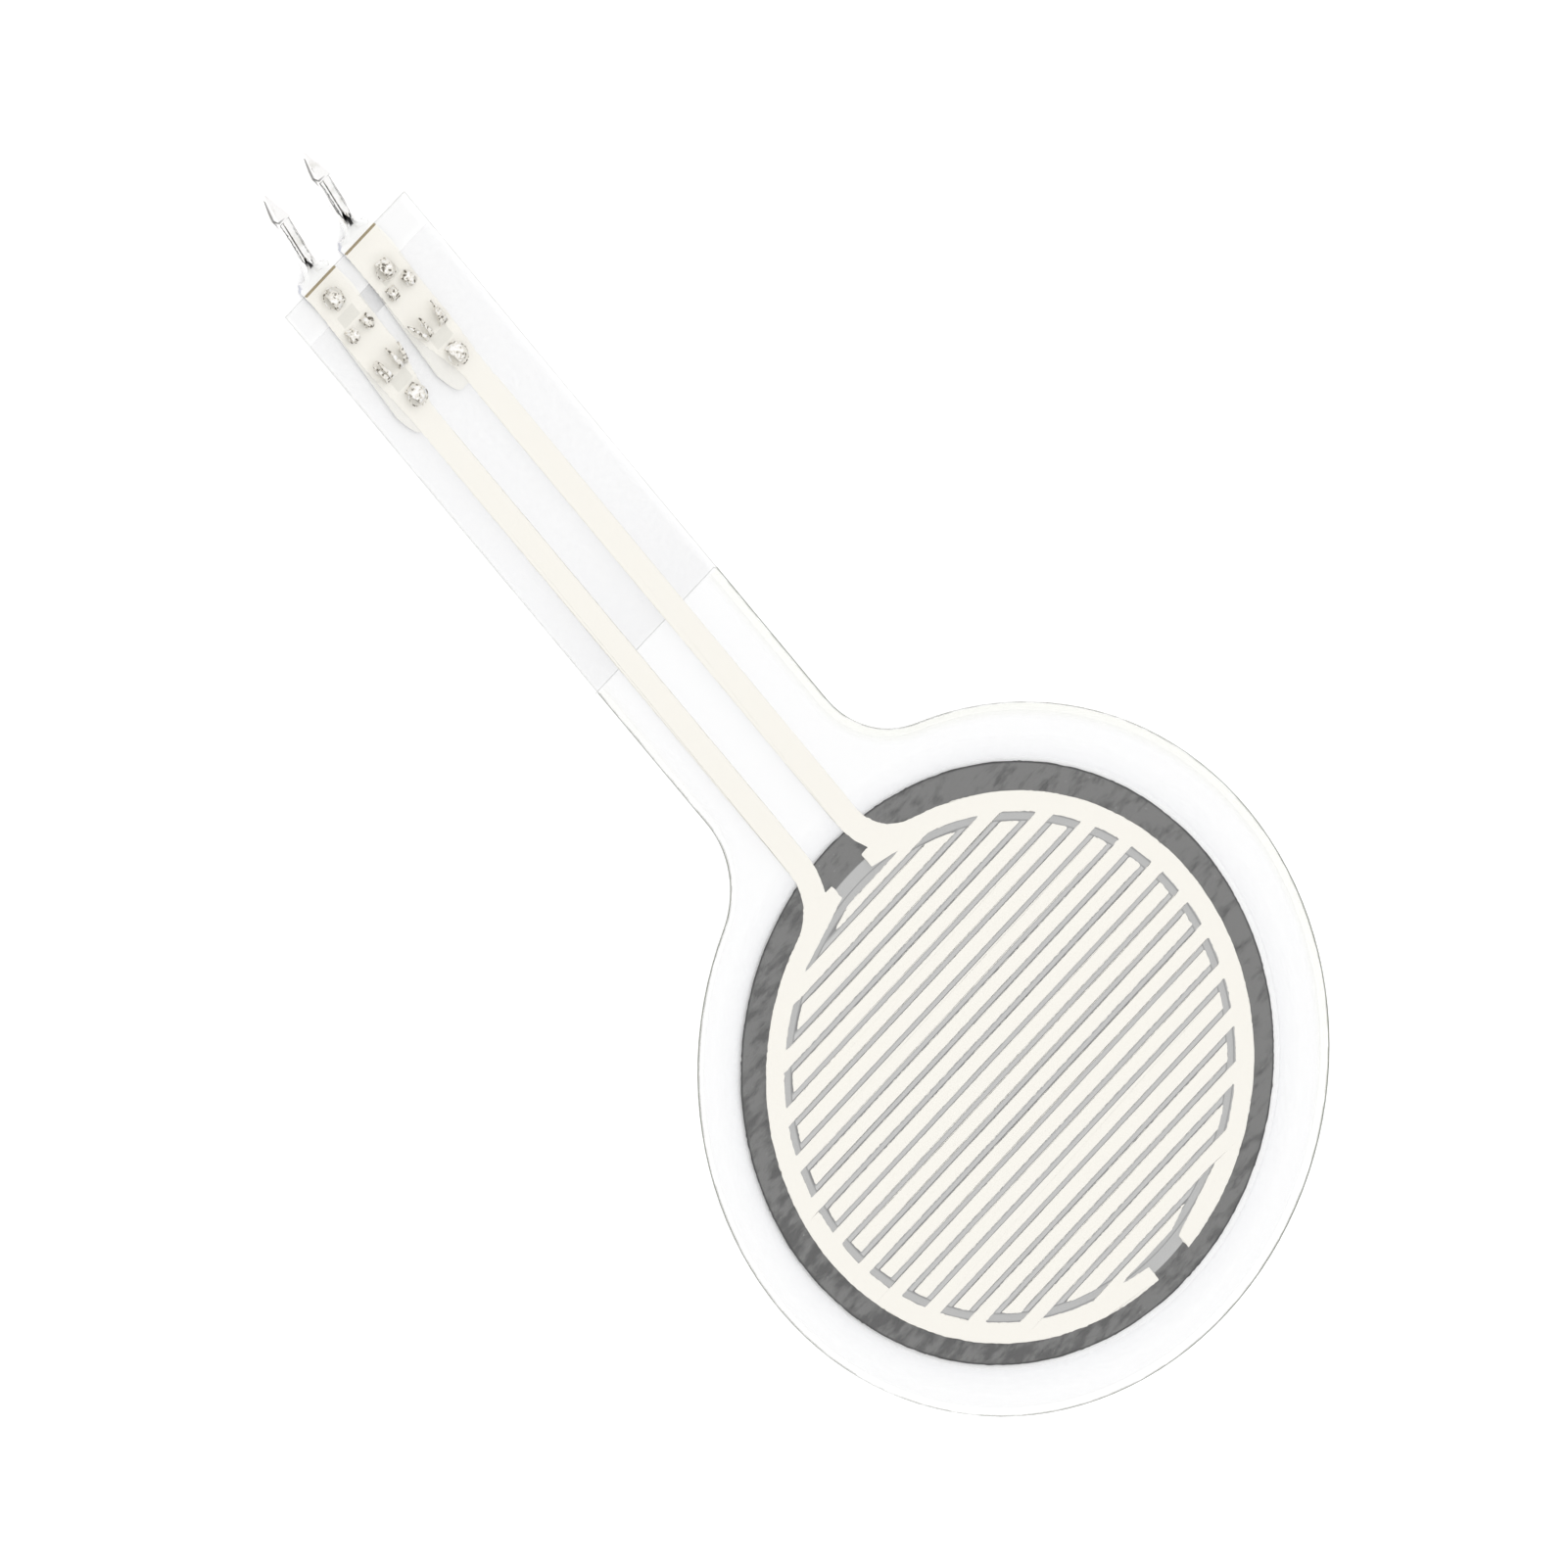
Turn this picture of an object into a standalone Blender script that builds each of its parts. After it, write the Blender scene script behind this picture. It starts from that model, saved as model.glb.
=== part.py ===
# Force sensing resistor: a clear film sensor with a round sensing pad, a flat tail and two crimped pins.
# The origin is the centre of the round pad, on its underside. The tail runs along +Y, and +Z is up.
# Two printed silver combs lie under the upper film. They face a printed carbon disc on the lower film,
# across the air gap that a spacer of clear adhesive keeps open.

import math

import bpy
import bmesh
from mathutils import Vector

MM = 0.001

# Outline of the films
PAD_DIAMETER = 30.0 * MM
TAIL_WIDTH = 7.55 * MM
TAIL_END = 47.0 * MM            # from the pad's centre to the square end of the upper film
TAIL_FILLET = 4.2 * MM          # radius between tail and pad
LAMINATE_END = 25.1 * MM        # the spacer and the lower film stop here, half way up the tail
ARC_STEP = math.radians(3.0)
SHARP = math.radians(20.0)      # edges that turn by more than this are shaded as sharp

# Layers, from the lowest up
LOWER_FILM = 0.125 * MM
SPACER = 0.140 * MM
UPPER_FILM = 0.125 * MM
INK = 0.012 * MM
COVER_TAPE = 0.045 * MM
FACE_GAP = 0.004 * MM           # between two faces that are bonded together
EDGE_GAP = 0.03 * MM            # round ink and claws, where one piece passes through another

# Carbon and spacer
CARBON_MARGIN = 2.325 * MM      # clear film between the edge of the carbon and the edge of the pad
CARBON_SHIFT = (-0.26 * MM, 0.0)
CARBON_HALO = 0.3 * MM          # air left round the edge of the carbon, where the adhesive steps over it
SPACER_INSET = 0.35 * MM        # the die-cut adhesive stands back from the edge of the films
SPACER_LAP = 0.3 * MM           # the spacer's opening covers this much of the silver ring

# Silver print: its centre lies a little off the film's, as the sheets were registered
PRINT_SHIFT = (-0.33 * MM, -0.15 * MM)
RING_MARGIN = 1.075 * MM        # carbon that shows outside the silver ring
RING_WIDTH = 0.87 * MM
FINGER_PITCH = 0.9 * MM
FINGER_GAP = 0.27 * MM
END_GAP = 0.4 * MM              # from a finger's end to the other comb
SHORTEST_FINGER = 0.2 * MM      # a finger at the top or bottom that would be lower than this is left out
SPLIT = 1.9 * MM                # between the two combs, at top and bottom of the ring
STUB_WIDTH = 0.72 * MM          # of the ring's square ends, beside the split
INK_CORNER = 0.05 * MM          # wet ink rounds every corner

# Traces and solder pads
TRACE_WIDTH = 1.1 * MM
TRACE_BEND = 2.4 * MM           # radius of a trace's outer edge where it runs into the ring
PIN_PITCH = 2.54 * MM
SOLDER_PAD_WIDTH = 1.85 * MM
SOLDER_PAD_LENGTH = 4.7 * MM
PAD_TAPER = 2.8 * MM            # over which a pad narrows to its trace

# Cover tape under the traces
TAPE_BARE_END = 1.75 * MM       # the tape stops this far from the end of the film
TAPE_INSET = 0.05 * MM
TAPE_START_GAP = 0.1 * MM

# Crimped contacts, folded from sheet
SHEET = 0.19 * MM
CONTACT_WIDTH = 1.9 * MM
CONTACT_REACH = 8.05 * MM       # how far the plate lies under the film
NOSE_WIDTH = 0.85 * MM
NOSE_LENGTH = 1.2 * MM
SHOULDER_OUT = 0.2 * MM         # the plate starts to narrow this far outside the film
SHOULDER_LENGTH = 0.5 * MM
FOLD_DELAY = 0.15 * MM          # the fold starts this far past the shoulder's start
FOLD_LENGTH = 1.3 * MM
PIN_WIDTH = 0.64 * MM
PIN_HEIGHT = 0.60 * MM
PIN_LENGTH = 3.85 * MM          # from the shoulder to the root of the point
POINT_LENGTH = 1.4 * MM         # the pin's end is pressed to a solid, wedge-shaped point
POINT_WIDTH = 0.74 * MM
BLUNT_WIDTH = 0.1 * MM
BLUNT_HEIGHT = 0.12 * MM
POINT_LAP = 0.06 * MM           # the point starts this far inside the folded pin
POINT_SWELL = 0.01 * MM         # the pressed end is this much thicker than the pin, above and below
POINT_FULLNESS = 1.4            # 1 is a straight taper, more is a fuller, leaf-like point
FOLD_INSIDE = 0.025 * MM        # inner radius of the folds
SEAM = 0.04 * MM
PIN_RISE = math.radians(20.0)   # the pins are bent up off the film
RISE_LENGTH = 0.5 * MM
QUARTER = math.pi / 2

WALLS_UPRIGHT = 0.8             # of the fold's length: the walls stand before the lips have closed

# Claws: lanced out of the plate, through the film, and curled over on top
CLAW_SHEET = 0.15 * MM
CLAW_WIDTH = 0.44 * MM
CLAW_REACH = 0.58 * MM          # from the middle of the stem to the middle of the turned-down tip
CLAW_RISE = 0.22 * MM           # height of the curl, less than half its reach: the claws are pressed flat
CLAW_STEM = 0.06 * MM           # straight part above the film
CLAW_SPREAD = 0.43 * MM         # from the plate's centreline to the middle of a claw of a pair
CLAW_LEAN = 0.12 * MM           # the tips of the second pair lean outwards
WIDE_CLAW = 0.58 * MM
WIDE_REACH = 0.82 * MM
WIDE_RISE = 0.28 * MM
CLAW_TIP_SHARE = 0.45           # width of a claw's tip, of its full width
WINDOW_MARGIN = 0.1 * MM        # the window is longer than the claw's reach
CURL_STEPS = 10
CURL_TAPER_FROM = 6             # a claw keeps its full width up to this row

# Each row of claws: how far its root lies from the end of the film, the way that it curls, and its lean
PAIR_ROWS = ((2.5 * MM, -1, 0.0), (5.3 * MM, 1, CLAW_LEAN))
LONE_ROWS = {"left": ((1.4 * MM, 1), (6.2 * MM, -1)), "right": ((1.35 * MM, -1), (6.2 * MM, -1))}

# Rows of points along a contact
NOSE_ROWS = 5
FOLD_ROWS = 12
POINT_ROWS = 6

# Heights that follow from the layers
SPACER_BOTTOM = LOWER_FILM + FACE_GAP
SPACER_TOP = SPACER_BOTTOM + SPACER
UPPER_BOTTOM = SPACER_TOP + FACE_GAP
UPPER_TOP = UPPER_BOTTOM + UPPER_FILM
CARBON_BOTTOM = LOWER_FILM + FACE_GAP
CARBON_TOP = CARBON_BOTTOM + INK
INK_TOP = UPPER_BOTTOM - FACE_GAP
INK_BOTTOM = INK_TOP - INK
TAPE_TOP = UPPER_BOTTOM - FACE_GAP
TAPE_BOTTOM = TAPE_TOP - INK - COVER_TAPE
SHEET_MIDDLE = TAPE_BOTTOM - FACE_GAP - SHEET / 2

# Radii that follow from the pad, all but the first about the print's own centre
CARBON_RADIUS = PAD_DIAMETER / 2 - CARBON_MARGIN
RING_OUTER = CARBON_RADIUS - RING_MARGIN
RING_INNER = RING_OUTER - RING_WIDTH
FINGER_END = RING_INNER - END_GAP
SPACER_OPENING = RING_OUTER - SPACER_LAP

# Lengths that follow from these
FINGER_HALF = (FINGER_PITCH - FINGER_GAP) / 2
STUB_OUTER = math.sqrt(RING_OUTER ** 2 - (SPLIT / 2) ** 2)
STUB_INNER = STUB_OUTER - STUB_WIDTH
COMB_REACH = STUB_INNER - END_GAP
HALF_COUNT = math.floor((COMB_REACH - SHORTEST_FINGER + FINGER_HALF) / FINGER_PITCH + 0.5)
FINGER_COUNT = 2 * HALF_COUNT   # both combs together, with the two short ones at top and bottom
CONTACT_START = TAIL_END - CONTACT_REACH
SHOULDER = TAIL_END + SHOULDER_OUT
FOLD_RADIUS = FOLD_INSIDE + SHEET / 2
FOLD_CORNER = FOLD_RADIUS * QUARTER
PIN_FLOOR = PIN_WIDTH / 2 - SHEET / 2 - FOLD_RADIUS
PIN_WALL = PIN_HEIGHT - SHEET - 2 * FOLD_RADIUS
FOLDED_HALF = 2 * PIN_FLOOR + 2 * FOLD_CORNER + PIN_WALL - SEAM / 2
FOLD_START = SHOULDER + FOLD_DELAY


def clear_scene():
    for obj in list(bpy.data.objects):
        bpy.data.objects.remove(obj, do_unlink=True)


def make_collection(name):
    made = bpy.data.collections.new(name)
    bpy.context.scene.collection.children.link(made)
    return made


def material(name, colour, roughness, metallic=0.0, alpha=1.0):
    made = bpy.data.materials.new(name)
    made.use_nodes = True
    shader = made.node_tree.nodes["Principled BSDF"]
    shader.inputs["Base Color"].default_value = (*colour, 1.0)
    shader.inputs["Roughness"].default_value = roughness
    shader.inputs["Metallic"].default_value = metallic
    shader.inputs["Alpha"].default_value = alpha
    return made


def arc(centre, radius, start, end, step=ARC_STEP):
    """Points along an arc, both ends included."""
    count = max(1, math.ceil(abs(end - start) / step - 1e-9))
    angles = [start + (end - start) * i / count for i in range(count + 1)]
    return [(centre[0] + radius * math.cos(a), centre[1] + radius * math.sin(a)) for a in angles]


def rounded(points, radius, sharpest=math.radians(15.0)):
    """The closed outline with each corner sharper than the given turn made round."""
    result = []
    count = len(points)
    for i, point in enumerate(points):
        here = Vector(point)
        before = Vector(points[i - 1]) - here
        after = Vector(points[(i + 1) % count]) - here
        turn = math.pi - before.angle(after)
        if turn < sharpest:
            result.append(point)
            continue
        reach = radius * math.tan(turn / 2)
        reach = min(reach, 0.45 * before.length, 0.45 * after.length)
        start = here + before.normalized() * reach
        end = here + after.normalized() * reach
        for t in (0.0, 0.5, 1.0):
            blend = start * (1 - t) ** 2 + here * 2 * t * (1 - t) + end * t ** 2
            result.append((blend.x, blend.y))
    return result


def grown(points, distance):
    """The closed outline moved outwards by a small distance."""
    area = sum(a[0] * b[1] - b[0] * a[1] for a, b in zip(points, points[1:] + points[:1]))
    side = 1.0 if area > 0 else -1.0
    result = []
    count = len(points)
    for i, point in enumerate(points):
        before = (Vector(point) - Vector(points[i - 1])).normalized()
        after = (Vector(points[(i + 1) % count]) - Vector(point)).normalized()
        out = Vector((before.y + after.y, -before.x - after.x)).normalized()
        spread = max(0.5, out.dot(Vector((after.y, -after.x))))
        moved = Vector(point) + out * (side * distance / spread)
        result.append((moved.x, moved.y))
    return result


def moved(points, shift):
    return [(x + shift[0], y + shift[1]) for x, y in points]


def mesh_object(name, mesh, collection, paint=None):
    obj = bpy.data.objects.new(name, mesh)
    collection.objects.link(obj)
    if paint:
        mesh.materials.clear()
        mesh.materials.append(paint)
    return obj


def flat_piece(name, outlines, bottom, top, collection, paint=None):
    """A flat layer: closed outlines, the inner ones being holes, filled and extruded, as a welded mesh."""
    curve = bpy.data.curves.new(name, "CURVE")
    curve.dimensions = "2D"
    curve.fill_mode = "BOTH"
    curve.extrude = (top - bottom) / 2
    for outline in outlines:
        spline = curve.splines.new("POLY")
        spline.points.add(len(outline) - 1)
        for point, (x, y) in zip(spline.points, outline):
            point.co = (x, y, 0.0, 1.0)
        spline.use_cyclic_u = True
    guide = bpy.data.objects.new(name + "_guide", curve)
    collection.objects.link(guide)
    evaluated = guide.evaluated_get(bpy.context.evaluated_depsgraph_get())
    mesh = bpy.data.meshes.new_from_object(evaluated)
    bpy.data.objects.remove(guide, do_unlink=True)
    bpy.data.curves.remove(curve)
    mesh.name = name
    shape = bmesh.new()
    shape.from_mesh(mesh)
    bmesh.ops.translate(shape, verts=shape.verts, vec=(0.0, 0.0, (bottom + top) / 2))
    bmesh.ops.remove_doubles(shape, verts=shape.verts, dist=1e-7)
    bmesh.ops.recalc_face_normals(shape, faces=shape.faces)
    shape.to_mesh(mesh)
    shape.free()
    mesh.shade_smooth()
    mesh.set_sharp_from_angle(angle=SHARP)
    return mesh_object(name, mesh, collection, paint)


def box_mesh(name, boxes):
    """Separate boxes in one mesh, each given by its lowest and highest corners."""
    shape = bmesh.new()
    for low, high in boxes:
        cube = bmesh.ops.create_cube(shape, size=1.0)["verts"]
        size = [b - a for a, b in zip(low, high)]
        bmesh.ops.scale(shape, verts=cube, vec=size)
        bmesh.ops.translate(shape, verts=cube, vec=[(a + b) / 2 for a, b in zip(low, high)])
    mesh = bpy.data.meshes.new(name)
    shape.to_mesh(mesh)
    shape.free()
    return mesh


def hidden(obj):
    obj.hide_render = True
    obj.display_type = "WIRE"
    return obj


def boolean(obj, cutter, operation="DIFFERENCE"):
    modifier = obj.modifiers.new(cutter.name, "BOOLEAN")
    modifier.operation = operation
    modifier.object = cutter
    modifier.solver = "EXACT"


def film_outline(end, inset=0.0):
    """The pad with its tail: round pad, a fillet on each side and a square end."""
    radius = PAD_DIAMETER / 2 - inset
    half = TAIL_WIDTH / 2 - inset
    fillet = TAIL_FILLET + inset
    centre_x = half + fillet
    centre_y = math.sqrt((radius + fillet) ** 2 - centre_x ** 2)
    touch = math.atan2(centre_y, centre_x)
    points = [(half, end)]
    points += arc((centre_x, centre_y), fillet, math.pi, math.pi + touch)
    points += arc((0.0, 0.0), radius, touch, -math.pi - touch)[1:-1]
    points += arc((-centre_x, centre_y), fillet, -touch, 0.0)
    points += [(-half, end)]
    return points


def ring_x(radius, y):
    return math.sqrt(radius ** 2 - y ** 2)


def finger_edges(index):
    """Lower and upper edge of a finger, counted from the lowest; the two outermost are short."""
    middle = (index - (FINGER_COUNT - 1) / 2) * FINGER_PITCH
    low, high = middle - FINGER_HALF, middle + FINGER_HALF
    return max(low, -COMB_REACH), min(high, COMB_REACH)


def short_end_x(y):
    """The short finger's end runs beside the straight edge that leads to the other comb's square end."""
    root_y = finger_edges(FINGER_COUNT - 2)[1]
    root_x = ring_x(RING_INNER, root_y)
    slope = (STUB_INNER - root_y) / (SPLIT / 2 - root_x)
    drop = END_GAP * math.hypot(1.0, slope)
    return SPLIT / 2 + (abs(y) + drop - STUB_INNER) / slope


def finger_points(index):
    """Round one finger of the comb whose ring lies at -X, from its lower root to its upper root."""
    low, high = finger_edges(index)
    points = [(-ring_x(RING_INNER, low), low)]
    if index in (0, FINGER_COUNT - 1):
        points += [(short_end_x(low), low), (short_end_x(high), high)]
    else:
        start, end = (math.asin(y / FINGER_END) for y in (low, high))
        points += arc((0.0, 0.0), FINGER_END, start, end)
    points += [(-ring_x(RING_INNER, high), high)]
    return points


def comb_outline(side):
    """One comb with its trace and its pad, in the print's own frame. Side is -1 for left, 1 for right."""
    split = SPLIT / 2
    points = [(-split, -STUB_INNER)]
    first = 0 if side < 0 else 1
    for index in range(first, FINGER_COUNT, 2):
        finger = finger_points(index)
        if index > first:
            start = math.pi - math.asin(points[-1][1] / RING_INNER)
            end = math.pi - math.asin(finger[0][1] / RING_INNER)
            points += arc((0.0, 0.0), RING_INNER, start, end)[1:-1]
        points += finger
    points += [(-split, STUB_INNER), (-split, STUB_OUTER)]

    outer_x = split + TRACE_WIDTH
    bend_x = outer_x + TRACE_BEND
    bend_y = math.sqrt((RING_OUTER + TRACE_BEND) ** 2 - bend_x ** 2)
    inner_bend = TRACE_BEND + TRACE_WIDTH
    stub_angle = -math.asin((bend_y - STUB_OUTER) / inner_bend)
    points += arc((-bend_x, bend_y), inner_bend, stub_angle, 0.0, 2 * ARC_STEP)

    middle = PIN_PITCH / 2
    half = SOLDER_PAD_WIDTH / 2
    end = TAIL_END - PRINT_SHIFT[1]
    taper_end = end - SOLDER_PAD_LENGTH
    taper_start = taper_end - PAD_TAPER
    points += [(-split, taper_start), (-middle + half, taper_end), (-middle + half, end)]
    points += [(-middle - half, end), (-middle - half, taper_end), (-outer_x, taper_start)]

    touch = math.atan2(bend_y, -bend_x)
    points += arc((-bend_x, bend_y), TRACE_BEND, 0.0, touch - math.pi, 2 * ARC_STEP)
    bottom = math.pi + math.acos(split / RING_OUTER)
    points += arc((0.0, 0.0), RING_OUTER, touch, bottom)[1:]
    points = rounded(points, INK_CORNER)
    if side > 0:
        points = [(-x, y) for x, y in reversed(points)]
    return moved(points, PRINT_SHIFT)


def strip_point(distance, wall_turn, lip_turn):
    """Where a point of the flat strip goes, this far from its centreline, when its edges are folded up."""
    lip = PIN_FLOOR + FOLD_CORNER + PIN_WALL
    steps = 40
    x = z = 0.0
    for i in range(steps):
        along = (i + 0.5) / steps * distance
        angle = wall_turn * min(1.0, max(0.0, (along - PIN_FLOOR) / FOLD_CORNER))
        angle += lip_turn * min(1.0, max(0.0, (along - lip) / FOLD_CORNER))
        x += math.cos(angle) * distance / steps
        z += math.sin(angle) * distance / steps
    return x, z


def ease(t):
    t = min(1.0, max(0.0, t))
    return t * t * (3 - 2 * t)


def mix(a, b, t):
    return a + (b - a) * min(1.0, max(0.0, t))


def contact_station(along):
    """(half width of the strip, wall fold, lip fold) of the plate and pin, this far along."""
    if along < SHOULDER:
        nose = min(1.0, max(0.0, (along - CONTACT_START) / NOSE_LENGTH))
        return mix(NOSE_WIDTH, CONTACT_WIDTH, math.sqrt(nose)) / 2, 0.0, 0.0
    fold = (along - FOLD_START) / FOLD_LENGTH
    half = mix(CONTACT_WIDTH / 2, FOLDED_HALF, ease((along - SHOULDER) / SHOULDER_LENGTH))
    return half, QUARTER * ease(fold / WALLS_UPRIGHT), QUARTER * ease(fold)


def rise_path(along):
    """Middle of the sheet (y, z) and its slope, this far along: level, then bent up by the pins' rise."""
    start = SHOULDER - RISE_LENGTH / 2
    radius = RISE_LENGTH / PIN_RISE
    angle = PIN_RISE * min(1.0, max(0.0, (along - start) / RISE_LENGTH))
    y = min(along, start) + radius * math.sin(angle)
    z = SHEET_MIDDLE + radius * (1 - math.cos(angle))
    rest = max(0.0, along - start - RISE_LENGTH)
    return y + rest * math.cos(PIN_RISE), z + rest * math.sin(PIN_RISE), angle


def solid_sheet(name, rows, thickness, collection):
    """A grid of points as a sheet of even thickness, the points being its middle."""
    shape = bmesh.new()
    grid = [[shape.verts.new(point) for point in row] for row in rows]
    for lower, upper in zip(grid, grid[1:]):
        for i in range(len(lower) - 1):
            face = shape.faces.new((lower[i], lower[i + 1], upper[i + 1], upper[i]))
            face.smooth = True
    for edge in shape.edges:
        edge.smooth = not edge.is_boundary
    mesh = bpy.data.meshes.new(name)
    shape.to_mesh(mesh)
    shape.free()
    obj = mesh_object(name, mesh, collection)
    thicken = obj.modifiers.new("Sheet", "SOLIDIFY")
    thicken.thickness = thickness
    thicken.offset = 0.0
    thicken.use_even_offset = True
    return obj


def contact_rows(centre_x):
    """The folded plate and pin: rows across the strip, from the nose to the root of the point."""
    third = FOLD_CORNER / 3
    lip = PIN_FLOOR + FOLD_CORNER + PIN_WALL
    breaks = [0.0, PIN_FLOOR] + [PIN_FLOOR + third * i for i in (1, 2, 3)]
    breaks += [lip + third * i for i in range(4)] + [FOLDED_HALF]
    shares = [b / FOLDED_HALF for b in breaks]
    shares = [-s for s in reversed(shares[1:])] + shares

    stations = [CONTACT_START + NOSE_LENGTH * (i / NOSE_ROWS) ** 2 for i in range(NOSE_ROWS + 1)]
    stations += [SHOULDER - RISE_LENGTH / 2, SHOULDER]
    stations += [FOLD_START + FOLD_LENGTH * i / FOLD_ROWS for i in range(FOLD_ROWS + 1)]
    stations += [SHOULDER + PIN_LENGTH]
    rows = []
    for along in stations:
        half, wall_turn, lip_turn = contact_station(along)
        y, z, slope = rise_path(along)
        row = []
        for share in shares:
            x, up = strip_point(abs(share) * half, wall_turn, lip_turn)
            x = math.copysign(x, share)
            row.append((centre_x + x, y - up * math.sin(slope), z + up * math.cos(slope)))
        rows.append(row)
    return rows


def point_mesh(name, centre_x):
    """The solid point: it carries on the pin's floor and slopes down from its top."""
    root = SHOULDER + PIN_LENGTH
    shape = bmesh.new()
    rings = []
    for i in range(-1, POINT_ROWS + 1):
        share = max(0, i) / POINT_ROWS
        y, z, slope = rise_path(root + POINT_LENGTH * share - (POINT_LAP if i < 0 else 0.0))
        swell = POINT_SWELL if i >= 0 else -POINT_SWELL
        half = mix(POINT_WIDTH if i >= 0 else PIN_WIDTH, BLUNT_WIDTH, share ** POINT_FULLNESS) / 2
        low = -SHEET / 2 - swell
        high = low + mix(PIN_HEIGHT + 2 * swell, BLUNT_HEIGHT, share)
        ring = []
        half += min(0.0, swell)
        for x, up in ((-half, low), (half, low), (half, high), (-half, high)):
            ring.append(shape.verts.new((centre_x + x, y - up * math.sin(slope), z + up * math.cos(slope))))
        rings.append(ring)
    for near, far in zip(rings, rings[1:]):
        for i in range(4):
            shape.faces.new((near[i], near[(i + 1) % 4], far[(i + 1) % 4], far[i]))
    shape.faces.new(rings[0])
    shape.faces.new(rings[-1])
    bmesh.ops.recalc_face_normals(shape, faces=shape.faces)
    mesh = bpy.data.meshes.new(name)
    shape.to_mesh(mesh)
    shape.free()
    return mesh


def claw_places(side):
    """Each claw on a contact: x offset, root y, the way it curls, width, reach, rise and lean."""
    places = []
    for back, way in LONE_ROWS[side]:
        places.append((0.0, TAIL_END - back, way, WIDE_CLAW, WIDE_REACH, WIDE_RISE, 0.0))
    for back, way, lean in PAIR_ROWS:
        for sign in (-1, 1):
            x = sign * CLAW_SPREAD
            places.append((x, TAIL_END - back, way, CLAW_WIDTH, CLAW_REACH, CLAW_RISE, sign * lean))
    return places


def claw_rows(x, root, way, width, reach, rise, lean):
    """A claw's middle surface: up out of the plate, over in a flattened curl and down to the film."""
    top = UPPER_TOP + CLAW_STEM
    path = [(0.0, SHEET_MIDDLE), (0.0, top)]
    for i in range(1, CURL_STEPS + 1):
        angle = math.pi * i / CURL_STEPS
        path.append((reach / 2 * (1 - math.cos(angle)), top + rise * math.sin(angle)))
    path.append((reach, UPPER_TOP + EDGE_GAP))
    rows = []
    for i, (y, z) in enumerate(path):
        taper = (i - CURL_TAPER_FROM) / (len(path) - 1 - CURL_TAPER_FROM)
        half = mix(width, width * CLAW_TIP_SHARE, taper) / 2
        middle = x + lean * y / reach
        rows.append([(middle - half, root + way * y, z), (middle, root + way * y, z)])
        rows[-1].append((middle + half, root + way * y, z))
    return rows


def slot_boxes(centre_x, side, gap, bottom, top):
    """Boxes round the stems of a contact's claws."""
    boxes = []
    for x, root, _, width, *_ in claw_places(side):
        half = (width / 2 + gap, CLAW_SHEET / 2 + gap)
        middle = (centre_x + x, root)
        low = (middle[0] - half[0], middle[1] - half[1], bottom)
        boxes.append((low, (middle[0] + half[0], middle[1] + half[1], top)))
    return boxes


def window_boxes(centre_x, side):
    """Openings that the claws leave in the plate, on the side that they curl to."""
    boxes = []
    for x, root, way, width, reach, *_ in claw_places(side):
        near = root + way * CLAW_SHEET / 2
        far = near + way * (reach + WINDOW_MARGIN)
        low = (centre_x + x - width / 2, min(near, far), SHEET_MIDDLE - SHEET)
        boxes.append((low, (centre_x + x + width / 2, max(near, far), SHEET_MIDDLE + SHEET)))
    return boxes


def contact_x(side):
    return PRINT_SHIFT[0] + (PIN_PITCH / 2 if side == "right" else -PIN_PITCH / 2)


def make_contact(side, parts, cutters, paint):
    """A contact: one folded sheet with its claws, its windows and its pin."""
    name = "crimp_contact_" + side
    middle = contact_x(side)
    obj = solid_sheet(name, contact_rows(middle), SHEET, parts)
    obj.data.materials.append(paint)
    windows = mesh_object(name + "_windows", box_mesh(name + "_windows", window_boxes(middle, side)), cutters)
    boolean(obj, hidden(windows))
    point = mesh_object(name + "_point", point_mesh(name + "_point", middle), cutters)
    boolean(obj, hidden(point), "UNION")
    for number, (x, *place) in enumerate(claw_places(side)):
        claw = solid_sheet(f"{name}_claw_{number}", claw_rows(middle + x, *place), CLAW_SHEET, cutters)
        boolean(obj, hidden(claw), "UNION")
    return obj


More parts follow.
